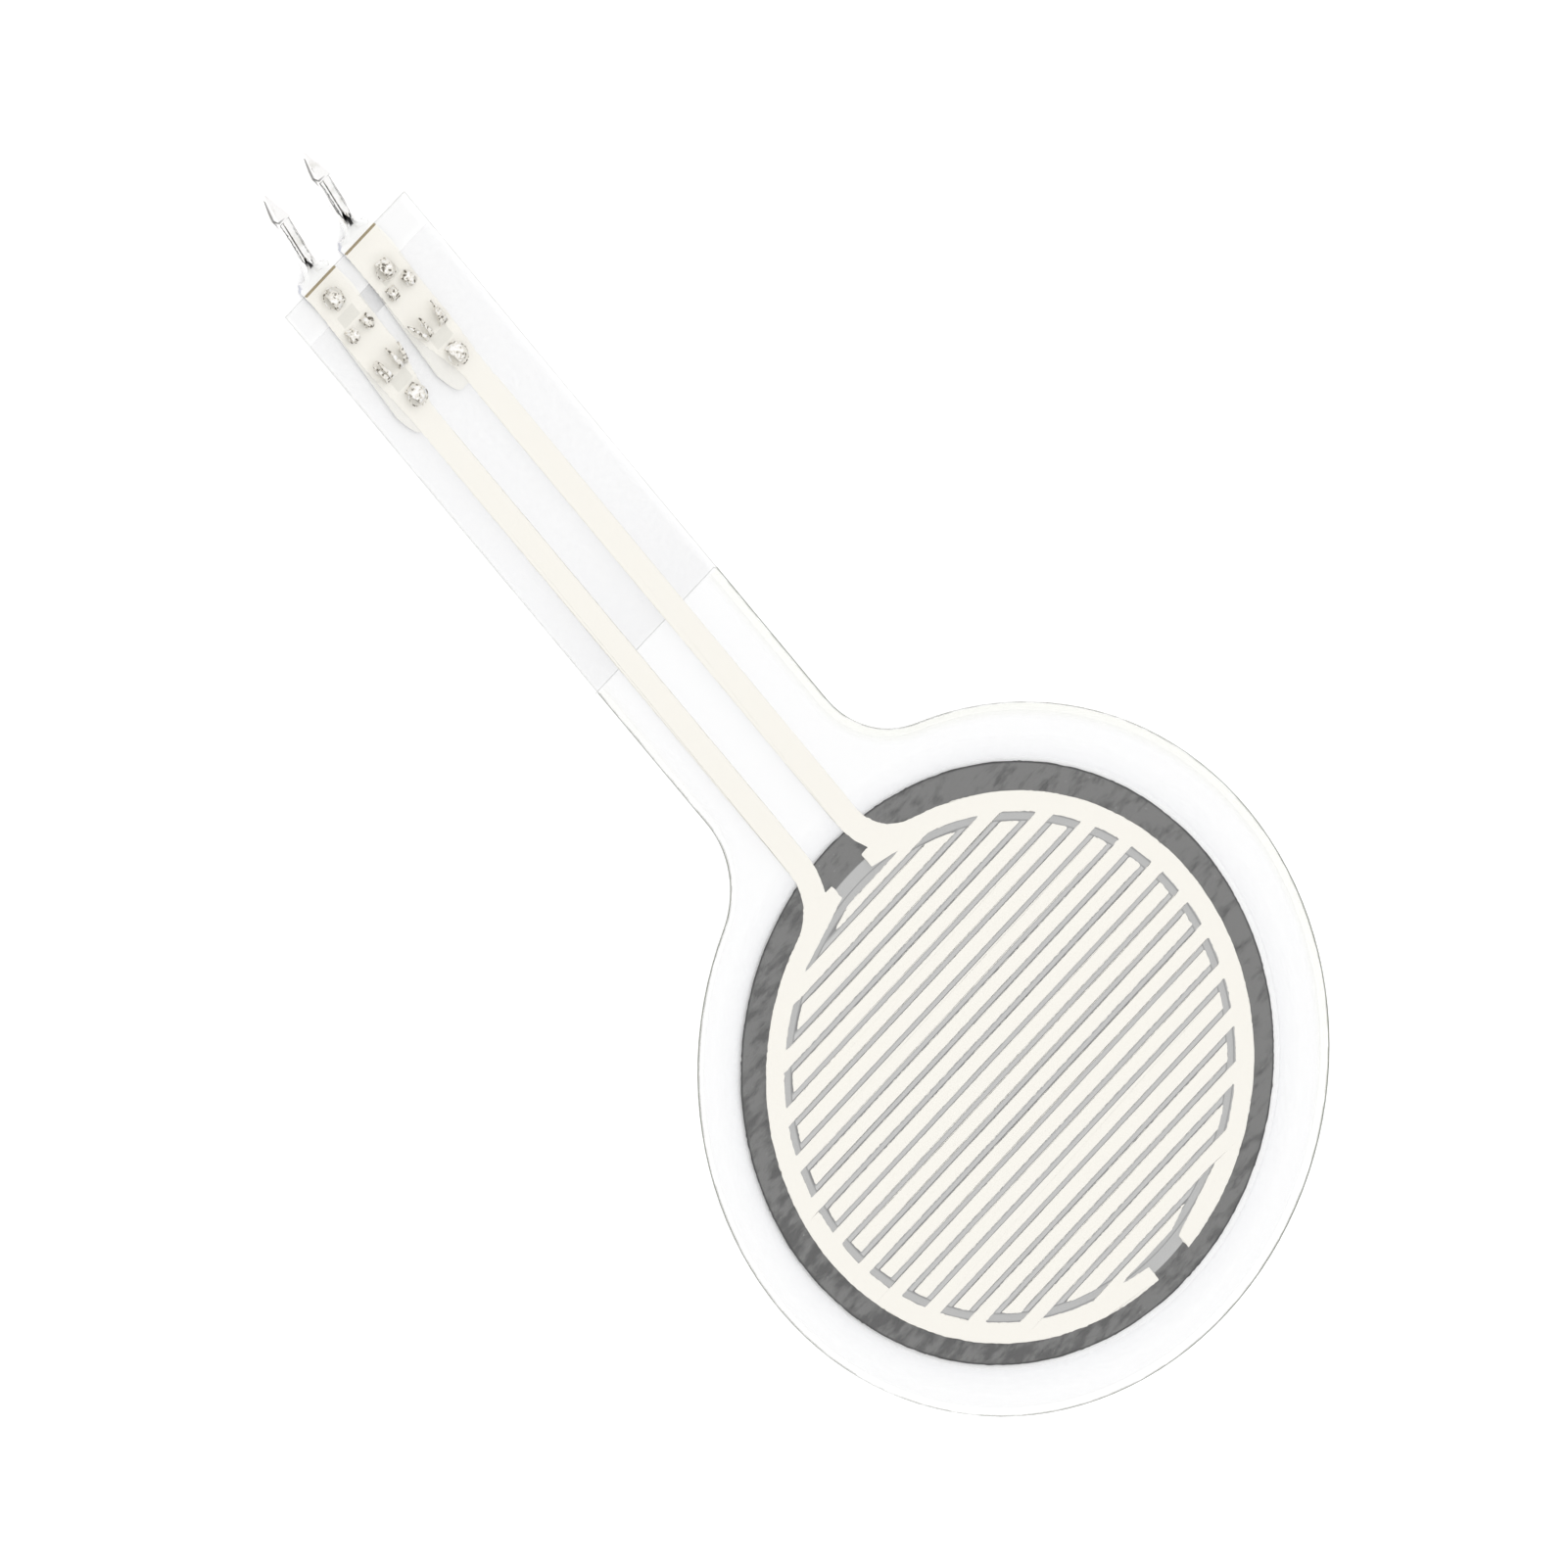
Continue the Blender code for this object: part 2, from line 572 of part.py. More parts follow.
def main():
    clear_scene()
    parts = make_collection("force_sensing_resistor")
    cutters = make_collection("cutters")

    clear_film = material("clear_film", (0.93, 0.95, 0.96), 0.12, alpha=0.35)
    adhesive = material("clear_adhesive", (0.94, 0.95, 0.94), 0.3, alpha=0.3)
    tape = material("cover_tape", (0.86, 0.87, 0.91), 0.45, alpha=0.6)
    carbon = material("carbon_ink", (0.21, 0.21, 0.22), 0.8)
    silver = material("silver_ink", (0.90, 0.87, 0.80), 0.5)
    tinned = material("tinned_sheet", (0.82, 0.81, 0.79), 0.25, metallic=1.0)

    combs = {"left": comb_outline(-1), "right": comb_outline(1)}
    over = SPACER                   # cutters reach this far past the faces that they open

    flat_piece("lower_film", [film_outline(LAMINATE_END)], 0.0, LOWER_FILM, parts, clear_film)
    carbon_edge = arc(CARBON_SHIFT, CARBON_RADIUS, 0.0, 2 * math.pi)[:-1]
    flat_piece("carbon_disc", [carbon_edge], CARBON_BOTTOM, CARBON_TOP, parts, carbon)

    opening = arc(PRINT_SHIFT, SPACER_OPENING, 0.0, 2 * math.pi)[:-1]
    rings = [film_outline(LAMINATE_END, SPACER_INSET), opening]
    spacer = flat_piece("spacer_adhesive", rings, SPACER_BOTTOM, SPACER_TOP, parts, adhesive)
    tape_half = TAIL_WIDTH / 2 - TAPE_INSET
    tape_start = LAMINATE_END + TAPE_START_GAP
    tape_end = TAIL_END - TAPE_BARE_END
    tape_outline = [(-tape_half, tape_start), (tape_half, tape_start)]
    tape_outline += [(tape_half, tape_end), (-tape_half, tape_end)]
    cover = flat_piece("tail_cover_tape", [tape_outline], TAPE_BOTTOM, TAPE_TOP, parts, tape)
    upper = flat_piece("upper_film", [film_outline(TAIL_END)], UPPER_BOTTOM, UPPER_TOP, parts, clear_film)

    halo_edge = arc(CARBON_SHIFT, CARBON_RADIUS + CARBON_HALO, 0.0, 2 * math.pi)[:-1]
    halo = flat_piece("carbon_recess", [halo_edge], SPACER_BOTTOM - over, CARBON_TOP + FACE_GAP, cutters)
    boolean(spacer, hidden(halo))
    for side, outline in combs.items():
        recess = grown(outline, EDGE_GAP)
        cutter = flat_piece("ink_recess_" + side, [recess], INK_BOTTOM - FACE_GAP, UPPER_TOP + over, cutters)
        hidden(cutter)
        boolean(spacer, cutter)
        boolean(cover, cutter)
        comb = flat_piece("silver_comb_" + side, [outline], INK_BOTTOM, INK_TOP, parts, silver)

        slots = slot_boxes(contact_x(side), side, EDGE_GAP, -over, UPPER_TOP + over)
        slot_mesh = box_mesh("claw_slots_" + side, slots)
        slot = hidden(mesh_object("claw_slots_" + side, slot_mesh, cutters))
        boolean(upper, slot)
        boolean(cover, slot)
        boolean(comb, slot)
        make_contact(side, parts, cutters, tinned)


main()
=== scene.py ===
import math
from functools import partial

import bpy
import bmesh
from mathutils import Matrix, Vector, noise


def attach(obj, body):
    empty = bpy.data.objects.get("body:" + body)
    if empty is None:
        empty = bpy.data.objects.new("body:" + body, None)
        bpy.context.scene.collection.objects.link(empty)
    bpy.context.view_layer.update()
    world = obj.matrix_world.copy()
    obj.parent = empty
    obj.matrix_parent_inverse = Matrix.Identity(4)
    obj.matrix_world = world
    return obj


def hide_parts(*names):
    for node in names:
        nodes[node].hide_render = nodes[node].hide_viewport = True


mm = 0.001
quarter = math.pi / 2
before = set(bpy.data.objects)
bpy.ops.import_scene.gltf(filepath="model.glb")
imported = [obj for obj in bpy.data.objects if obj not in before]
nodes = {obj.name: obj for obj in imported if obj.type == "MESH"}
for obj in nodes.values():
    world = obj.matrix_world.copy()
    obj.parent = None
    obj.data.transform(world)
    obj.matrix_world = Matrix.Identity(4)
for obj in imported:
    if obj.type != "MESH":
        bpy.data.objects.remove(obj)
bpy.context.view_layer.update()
scene = bpy.context.scene
print("stage: frame loaded")


def linear(hexColour):
    # sRGB hex to the linear colour that the sockets take
    parts = [int(hexColour[i:i + 2], 16) / 255 for i in (1, 3, 5)]
    values = [p / 12.92 if p <= 0.04045 else ((p + 0.055) / 1.055) ** 2.4 for p in parts]
    return (*values, 1.0)


def addNode(tree, kind, *links, **settings):
    # kind: the node's type less ShaderNode, then its operation or data type; links fill the sockets in use, in order,
    # or by name from one dictionary; a node stands for its first output, a hex colour for its linear one
    kind, _, way = kind.partition(" ")
    node = tree.nodes.new(kind if "Node" in kind else "ShaderNode" + kind)
    if way:
        settings["operation" if hasattr(node, "operation") else "data_type"] = way
    for name, value in settings.items():
        setattr(node, name, value)
    named = links and isinstance(links[0], dict)
    sockets = node.inputs if named else [socket for socket in node.inputs if socket.enabled]
    for key, value in (links[0].items() if named else enumerate(links)):
        if isinstance(value, bpy.types.Node):
            value = next(socket for socket in value.outputs if socket.enabled)
        if isinstance(value, bpy.types.NodeSocket):
            tree.links.new(value, sockets[key])
        elif value is not None:
            sockets[key].default_value = linear(value) if str(value).startswith("#") else value
    return node


def newMaterial(name):
    made = bpy.data.materials.new(name)
    made.use_nodes = True
    made.node_tree.nodes.clear()
    return made, partial(addNode, made.node_tree)


def clamp(t):
    return min(1.0, max(0.0, t))


def ease(t):
    t = clamp(t)
    return t * t * (3 - 2 * t)


def mix(a, b, t):
    return a + (b - a) * clamp(t)


# the real sizes, as in the part's source
sizes = {
    "padRadius": 15.0 * mm,
    "tailHalf": 3.775 * mm,
    "tailFillet": 4.2 * mm,
    "filmEnd": 47.0 * mm,
    "laminateEnd": 25.1 * mm,
    "carbonCentre": (-0.26 * mm, 0.0, 0.0),
    "carbonRadius": 12.675 * mm,
    "printCentre": (-0.33 * mm, -0.15 * mm, 0.0),
    "opening": 11.3 * mm,
    "fingerPitch": 0.9 * mm,
    "fingerGap": 0.27 * mm,
    "pinPitch": 2.54 * mm,
    "padHalf": 0.925 * mm,
    "tapeEnd": 45.25 * mm,
}


def flatPlace(add):
    # object coordinates pressed flat: x across the tail, y towards the pins
    point = add("TexCoord").outputs["Object"]
    flat = add("VectorMath MULTIPLY", point, (1.0, 1.0, 0.0))
    x, y, z = add("SeparateXYZ", flat).outputs
    return point, flat, x, y


def outlineDistance(add, x, y):
    # how far a place lies outside the films' outline, less than 0 inside: round pad, tail and the two fillets
    fillet = sizes["tailFillet"]
    reach = sizes["padRadius"] + fillet
    centre = Vector((sizes["tailHalf"] + fillet, 0.0, 0.0))
    centre.y = math.sqrt(reach ** 2 - centre.x ** 2)
    x = add("Math ABSOLUTE", x)
    place = add("CombineXYZ", x, y)
    pad = add("Math SUBTRACT", add("VectorMath LENGTH", place), sizes["padRadius"])
    sides = add("Math SUBTRACT", x, sizes["tailHalf"])
    ends = add("Math ABSOLUTE", add("Math SUBTRACT", y, sizes["filmEnd"] / 2))
    tail = add("Math MAXIMUM", sides, add("Math SUBTRACT", ends, sizes["filmEnd"] / 2))
    neck = add("Math SUBTRACT", fillet, add("VectorMath DISTANCE", place, centre))
    above = add("Math SUBTRACT", y, centre.y)
    beside = add("VectorMath DOT_PRODUCT", place, (centre.y / reach, -centre.x / reach, 0.0))
    neck = add("Math MAXIMUM", add("Math MAXIMUM", neck, above), beside)
    return add("Math MINIMUM", add("Math MINIMUM", pad, tail), neck)


def cutEdge(add):
    # 1 on a sheet's cut edges, 0 on its faces
    z = add("SeparateXYZ", add("NewGeometry").outputs["Normal"]).outputs["Z"]
    return add("MapRange", add("Math ABSOLUTE", z), 0.8, 0.4)


def onPads(add, x, half):
    # 1 within this far of the middle line of either pad
    offPads = add("Math ABSOLUTE", add("Math SUBTRACT", x, sizes["printCentre"][0]))
    return add("Math COMPARE", offPads, sizes["pinPitch"] / 2, half)


def layer(add, colour, share, mask, tone, amount):
    # another tone over a sheet's colour, and the share of light that it stops
    colour = add("Mix RGBA", mask, colour, tone)
    return colour, add("Math MAXIMUM", share, add("Math MULTIPLY", mask, amount))


def clearSheet(add, through, colour, share, gloss=None, roughness=0.0):
    # what shows behind, a little scatter in the sheet, and the gloss on its face
    clear = add("BsdfTransparent", through)
    surface = add("MixShader", share, clear, add("BsdfDiffuse", colour))
    if gloss:
        surface = add("MixShader", gloss, surface, add("BsdfGlossy", {"Roughness": roughness}))
    add("OutputMaterial", surface)


# polyester film, cast, stretched and slit: clear and glossy, cut edges that gather grey-green, with a broken burr line
filmLook = {
    "through": "#fdfdfd",
    "haze": "#dfe0e4",
    "hazeShare": 0.008,
    "grainSize": 0.12 * mm,
    "edge": "#7b7e72",
    "edgeShare": 0.85,
    "edgeFrom": -20.0 * mm,
    "burr": "#8d8f84",
    "burrShare": 0.42,
    "burrWidth": 0.075 * mm,
    "burrBreaks": 0.8 * mm,
    "singleShare": 0.32,
    "glow": "#d3d4b2",
    "glowShare": 0.12,
    "glowWidth": 0.75 * mm,
    "lampWay": (1.0, 0.35, 0.0),
    "litReach": (1.0 * mm, 9.0 * mm),
    "inkEdgeAndGapShade": "#93835f",
    "inkEdgeAndShadeWidth": 0.08 * mm,
    "between": "#b3b6bd",
    "betweenShare": 0.025,
    "betweenPlace": (-0.215 * mm, 0.235 * mm),
    "ior": 1.6,
    "roughness": 0.06,
}


def polyesterFilm(name, look, side):
    made, add = newMaterial(name)
    point, flat, x, y = flatPlace(add)
    grain = add("TexNoise", point, 1 / look["grainSize"], 2.0)
    share = add("MapRange", grain, 0.4, 0.7, 0.0, look["hazeShare"])
    edge = outlineDistance(add, x, y)
    # light that enters by the edges nearer to the lamp glows on inside them, as far as the laminate goes
    glow = add("MapRange", edge, -look["glowWidth"], 0.0, 0.0, look["glowShare"])
    lit = add("MapRange", add("VectorMath DOT_PRODUCT", flat, look["lampWay"]), *look["litReach"], 0.15, 1.0)
    lit = add("Math MULTIPLY", lit, add("Math LESS_THAN", y, sizes["laminateEnd"]))
    glow = add("Math MULTIPLY", glow, lit)
    share = add("Math ADD", share, glow)
    colour = add("Mix RGBA", add("MapRange", glow, 0.0, 0.04), look["haze"], look["glow"])
    # the slitting knife leaves a fine burr, fainter where there is only one film
    knife = add("Math LESS_THAN", y, sizes["laminateEnd"] + 0.05 * mm)
    knife = add("MapRange", knife, 0.0, 1.0, look["singleShare"], 1.0)
    breaks = add("MapRange", add("TexNoise", point, 1 / look["burrBreaks"], 3.0), 0.38, 0.55, 0.15, 1.0)
    breaks = add("Math MULTIPLY", breaks, knife)
    burr = add("MapRange", edge, -look["burrWidth"], -0.4 * look["burrWidth"], 0.0, look["burrShare"])
    burr = add("Math MULTIPLY", burr, breaks)
    share = add("Math MAXIMUM", share, burr)
    colour = add("Mix RGBA", add("Math GREATER_THAN", burr, 0.02), colour, look["burr"])
    # painted shade: greyer between the two contacts, past the end of the tape
    between = add("Math COMPARE", x, *look["betweenPlace"])
    between = add("Math MULTIPLY", between, add("Math GREATER_THAN", y, sizes["tapeEnd"]))
    colour, share = layer(add, colour, share, between, look["between"], look["betweenShare"])
    # a band this wide along the film's end over the pads: the ink's brown cut, and painted shade of the gap between the
    # film's end and the plate under it
    atEnd = add("Math GREATER_THAN", y, sizes["filmEnd"] - look["inkEdgeAndShadeWidth"])
    inkAndGapShade = add("Math MULTIPLY", onPads(add, x, sizes["padHalf"]), atEnd)
    shown = add("Math GREATER_THAN", y, look["edgeFrom"])
    wall = add("Math MULTIPLY", add("Math MULTIPLY", cutEdge(add), shown), knife)
    edged = add("Math MAXIMUM", wall, inkAndGapShade)
    edgeColour = add("Mix RGBA", inkAndGapShade, look["edge"], look["inkEdgeAndGapShade"])
    colour, share = layer(add, colour, share, edged, edgeColour, look["edgeShare"])
    # only the outer face has air on it: the glued faces inside give no reflection
    shape = add("NewGeometry")
    facing = add("VectorMath DOT_PRODUCT", shape.outputs["True Normal"], (0.0, 0.0, side))
    facing = add("Math GREATER_THAN", facing, -0.5)
    facing = add("Math SUBTRACT", facing, shape.outputs["Backfacing"], use_clamp=True)
    gloss = add("Math MULTIPLY", add("Fresnel", {"IOR": look["ior"]}), facing)
    clearSheet(add, look["through"], colour, share, gloss, look["roughness"])
    return made


# acrylic transfer adhesive, die-cut: water clear with a trace of blue, a soft pale halo where it steps over the carbon,
# and past the halo a bluish haze that fades outwards: partly its own haze, partly painted shade of the carbon ring
adhesiveLook = {
    "through": "#fefefe",
    "haze": "#d9dbe1",
    "hazeShare": 0.13,
    "edge": "#b5b8ad",
    "edgeShare": 0.03,
    "haloOut": 12.84 * mm,
    "haloEdge": 0.05 * mm,
    "haloWave": 0.03 * mm,
    "waveSize": 0.7 * mm,
    "haloFade": 1.1 * mm,
    "haloLeft": 0.25,
    "grainSize": 0.08 * mm,
}


def acrylicAdhesive(name, look):
    made, add = newMaterial(name)
    point, flat, _, _ = flatPlace(add)
    radius = add("VectorMath DISTANCE", flat, sizes["carbonCentre"])
    wave = add("TexNoise", point, 1 / look["waveSize"], 1.0)
    radius = add("Math ADD", radius, add("MapRange", wave, 0.3, 0.7, -look["haloWave"], look["haloWave"]))
    # painted shade, in part: clear inside the wavy halo, hazy just outside it, fading outwards
    start = look["haloOut"]
    beyond = add("MapRange", radius, start - look["haloEdge"], start + look["haloEdge"])
    fade = add("MapRange", radius, start, start + look["haloFade"], 1.0, look["haloLeft"])
    grain = add("TexNoise", point, 1 / look["grainSize"], 2.0)
    grain = add("MapRange", grain, 0.3, 0.7, 0.93 * look["hazeShare"], 1.07 * look["hazeShare"])
    share = add("Math MULTIPLY", add("Math MULTIPLY", beyond, fade), grain)
    colour, share = layer(add, look["haze"], share, cutEdge(add), look["edge"], look["edgeShare"])
    clearSheet(add, look["through"], colour, share)
    return made


# frosted polypropylene tape, calendered: lets light through softly, pale grey, no shine where it is glued
tapeLook = {
    "through": "#fcfcfc",
    "haze": "#dcdce2",
    "hazeShare": 0.05,
    "fibreSize": 0.25 * mm,
    "shade": "#c6c8cc",
    "shadeShare": 0.055,
    "shadeWidth": 0.9 * mm,
    "shadeFrom": (39.0 * mm, 41.5 * mm),
    "band": "#8f9095",
    "bandFrom": 44.1 * mm,
    "bandOver": 0.05 * mm,
    "bandShare": (0.05, 0.25),
}


def coverTape(name, look):
    made, add = newMaterial(name)
    point, _, x, y = flatPlace(add)
    grain = add("TexNoise", point, 1 / look["fibreSize"], 4.0)
    share = add("MapRange", grain, 0.3, 0.7, 0.85 * look["hazeShare"], 1.15 * look["hazeShare"])
    # painted shadow: greyer beside each contact plate, on the side away from the light, where the plate's shadow falls
    rightPad = sizes["printCentre"][0] + sizes["pinPitch"] / 2 - sizes["padHalf"]
    away = add("Math SUBTRACT", rightPad, x)
    leftOf = add("Math GREATER_THAN", away, 0.0)
    away = add("Math FLOORED_MODULO", away, sizes["pinPitch"])
    shade = add("MapRange", away, 0.0, look["shadeWidth"], look["shadeShare"], 0.0)
    onPlates = add("MapRange", y, *look["shadeFrom"])
    shade = add("Math MULTIPLY", add("Math MULTIPLY", shade, onPlates), leftOf)
    colour = add("Mix RGBA", add("MapRange", shade, 0.0, 0.05), look["haze"], look["shade"])
    share = add("Math MAXIMUM", share, shade)
    # a darker grey band across the gap between the two plates near the tape's end, darkest beside the right one
    middle = sizes["printCentre"][0]
    reach = sizes["pinPitch"] / 2 - sizes["padHalf"] + look["bandOver"]
    band = add("Math COMPARE", x, middle, reach)
    band = add("Math MULTIPLY", band, add("Math GREATER_THAN", y, look["bandFrom"]))
    strength = add("MapRange", x, middle - reach, middle + reach, *look["bandShare"])
    colour, share = layer(add, colour, share, band, look["band"], strength)
    clearSheet(add, look["through"], colour, share)
    return made


# screen-printed carbon ink: matt; paler where it lies open in the air gap, darker and streaky where adhesive wets it
carbonLook = {
    "dry": "#c5c5c4",
    "fingerShade": "#868686",
    "fingerShadeFrom": 0.13 * mm,
    "fingerShadeWidth": 0.09 * mm,
    "fingerEnd": 10.33 * mm,
    "ringInner": 10.73 * mm,
    "wet": "#737372",
    "wetEdge": 0.02 * mm,
    "streak": "#3b3b3b",
    "streakShare": 0.68,
    "streakSize": 0.42 * mm,
    "streakWay": (-0.95, -0.3, 0.0),
    "streakReach": (-8.0 * mm, 12.0 * mm),
    "rim": "#343434",
    "rimWidth": (0.1 * mm, 0.04 * mm),
    "rimShare": 0.9,
    "speck": "#c9c9c8",
    "speckSize": 0.13 * mm,
    "grainSize": 0.05 * mm,
    "grainHeight": 0.004 * mm,
    "roughness": 0.75,
}


def carbonInk(name, look):
    made, add = newMaterial(name)
    point, flat, _, y = flatPlace(add)
    # painted shade of the silver's edges: the open ink darker along one side of each gap between the fingers, and along
    # both edges at the fingers' ends
    inGap = add("Math SUBTRACT", y, sizes["printCentre"][1] - sizes["fingerGap"] / 2)
    inGap = add("Math FLOORED_MODULO", inGap, sizes["fingerPitch"])
    fingerShade = add("MapRange", inGap, look["fingerShadeFrom"], sizes["fingerGap"])
    radius = add("VectorMath DISTANCE", flat, sizes["printCentre"])
    endMiddle = (look["fingerEnd"] + look["ringInner"]) / 2
    endHalf = (look["ringInner"] - look["fingerEnd"]) / 2
    atEnds = add("Math GREATER_THAN", radius, look["fingerEnd"])
    offEnd = add("Math ABSOLUTE", add("Math SUBTRACT", radius, endMiddle))
    fingerEndShade = add("MapRange", offEnd, endHalf - look["fingerShadeWidth"], endHalf, 0.2, 1.0)
    onRing = add("Math LESS_THAN", radius, look["ringInner"])
    fingerEndShade = add("Math MAXIMUM", add("Math MULTIPLY", fingerEndShade, onRing), 0.25)
    base = add("Mix RGBA", add("Mix", atEnds, fingerShade, fingerEndShade), look["dry"], look["fingerShade"])
    wetted = add("MapRange", radius, sizes["opening"] - look["wetEdge"], sizes["opening"] + look["wetEdge"])
    # streaks along the squeegee's way, more of them towards the left
    stroke = add("Mapping", {"Vector": point, "Scale": (0.4, 1.0, 1.0), "Rotation": (0.0, 0.0, 0.15)})
    streaks = add("TexNoise", stroke, 1 / look["streakSize"], 3.0, 0.6)
    side = add("VectorMath DOT_PRODUCT", flat, look["streakWay"])
    side = add("MapRange", side, *look["streakReach"], -0.02, 0.08)
    streaks = add("MapRange", add("Math ADD", streaks, side), 0.48, 0.66, 0.0, look["streakShare"])
    wet = add("Mix RGBA", streaks, look["wet"], look["streak"])
    specks = add("MapRange", add("TexNoise", point, 1 / look["speckSize"], 1.0), 0.74, 0.80, 0.0, 0.5)
    wet = add("Mix RGBA", specks, wet, look["speck"])
    outer = add("VectorMath DISTANCE", flat, sizes["carbonCentre"])
    rim = [sizes["carbonRadius"] - width for width in look["rimWidth"]]
    wet = add("Mix RGBA", add("MapRange", outer, *rim, 0.0, look["rimShare"]), wet, look["rim"])
    base = add("Mix RGBA", wetted, base, wet)
    grain = add("TexNoise", point, 1 / look["grainSize"], 2.0)
    bump = add("Bump", {"Height": grain, "Distance": look["grainHeight"]})
    ink = add("BsdfPrincipled", {"Base Color": base, "Roughness": look["roughness"], "Normal": bump})
    add("OutputMaterial", ink)
    return made


# screen-printed silver ink: flakes in a cream binder, satin, with the grain of the printing mesh left in it
silverLook = {
    "base": "#f8f5ed",
    "shade": "#e2ded3",
    "meshPitch": 0.15 * mm,
    "meshTurn": math.radians(22),
    "meshShare": 0.14,
    "meshHeight": 0.003 * mm,
    "flakeSize": 0.07 * mm,
    "flakeShare": 0.18,
    "clawShadeTone": "#cbcac1",
    "clawShadeShare": 0.30,
    "shadeBreakupSize": 0.5 * mm,
    "patchHalf": (0.48 * mm, 0.30 * mm),
    "patches": (41.3 * mm, 44.98 * mm),
    "patchShare": 0.4,
    "roughness": 0.55,
}


def silverInk(name, look):
    made, add = newMaterial(name)
    point, _, x, y = flatPlace(add)
    scale = (2 * math.pi / look["meshPitch"],) * 3
    turned = add("Mapping", {"Vector": point, "Rotation": (0.0, 0.0, look["meshTurn"]), "Scale": scale})
    along, across, _ = add("SeparateXYZ", turned).outputs
    along = add("Math SINE", along)
    across = add("Math SINE", across)
    weave = add("MapRange", add("Math MULTIPLY", along, across), -0.2, 1.0, 0.0, look["meshShare"])
    flakes = add("TexNoise", point, 1 / look["flakeSize"], 3.0)
    share = add("Math ADD", weave, add("MapRange", flakes, 0.4, 0.7, 0.0, look["flakeShare"]))
    colour = add("Mix RGBA", share, look["base"], look["shade"])
    # painted shade round the claws, where the film and ink are pushed up, broken up by noise
    clawShading = add("Attribute", attribute_name="clawShade").outputs["Fac"]
    shadeBreakup = add("TexNoise", point, 1 / look["shadeBreakupSize"], 3.0, 0.6)
    shadeBreakup = add("MapRange", shadeBreakup, 0.35, 0.6, 0.25 * look["clawShadeShare"], look["clawShadeShare"])
    clawShading = add("Math MULTIPLY", clawShading, shadeBreakup)
    # painted shade: grey-beige patches on the pads between the rows of claws, over the holes that the claws leave in
    # the plates, where nothing bright lies behind the ink
    beside = onPads(add, x, look["patchHalf"][0])
    for place in look["patches"]:
        patch = add("Math MULTIPLY", add("Math COMPARE", y, place, look["patchHalf"][1]), beside)
        clawShading = add("Math MAXIMUM", clawShading, add("Math MULTIPLY", patch, look["patchShare"]))
    colour = add("Mix RGBA", clawShading, colour, look["clawShadeTone"])
    bump = add("Bump", {"Height": weave, "Distance": look["meshHeight"]})
    ink = add("BsdfPrincipled", {"Base Color": colour, "Roughness": look["roughness"], "Normal": bump})
    add("OutputMaterial", ink)
    return made


# bright tin plate on stamped and drawn sheet: mirror-like with fine drawing lines, dull where it was cut or torn
tinLook = {
    "base": "#fcfbfa",
    "dull": "#e6e4df",
    "dullSize": 0.6 * mm,
    "paintedDark": "#161514",
    "cut": "#d3d5df",
    "scouredFrom": (46.9 * mm, 47.0 * mm),
    "scouredTo": (47.8 * mm, 48.3 * mm),
    "glued": "#fbf9f2",
    "torn": "#e9e5dc",
    "tornRough": 0.25,
    "tornMatt": 0.5,
    "darkMarkShade": "#6c665c",
    "scoured": "#fdfdfc",
    "clawMarkSize": 0.16 * mm,
    "roughness": 0.09,
    "lineWidth": 0.05 * mm,
    "dentSize": 0.3 * mm,
    "dentHeight": 0.02 * mm,
}


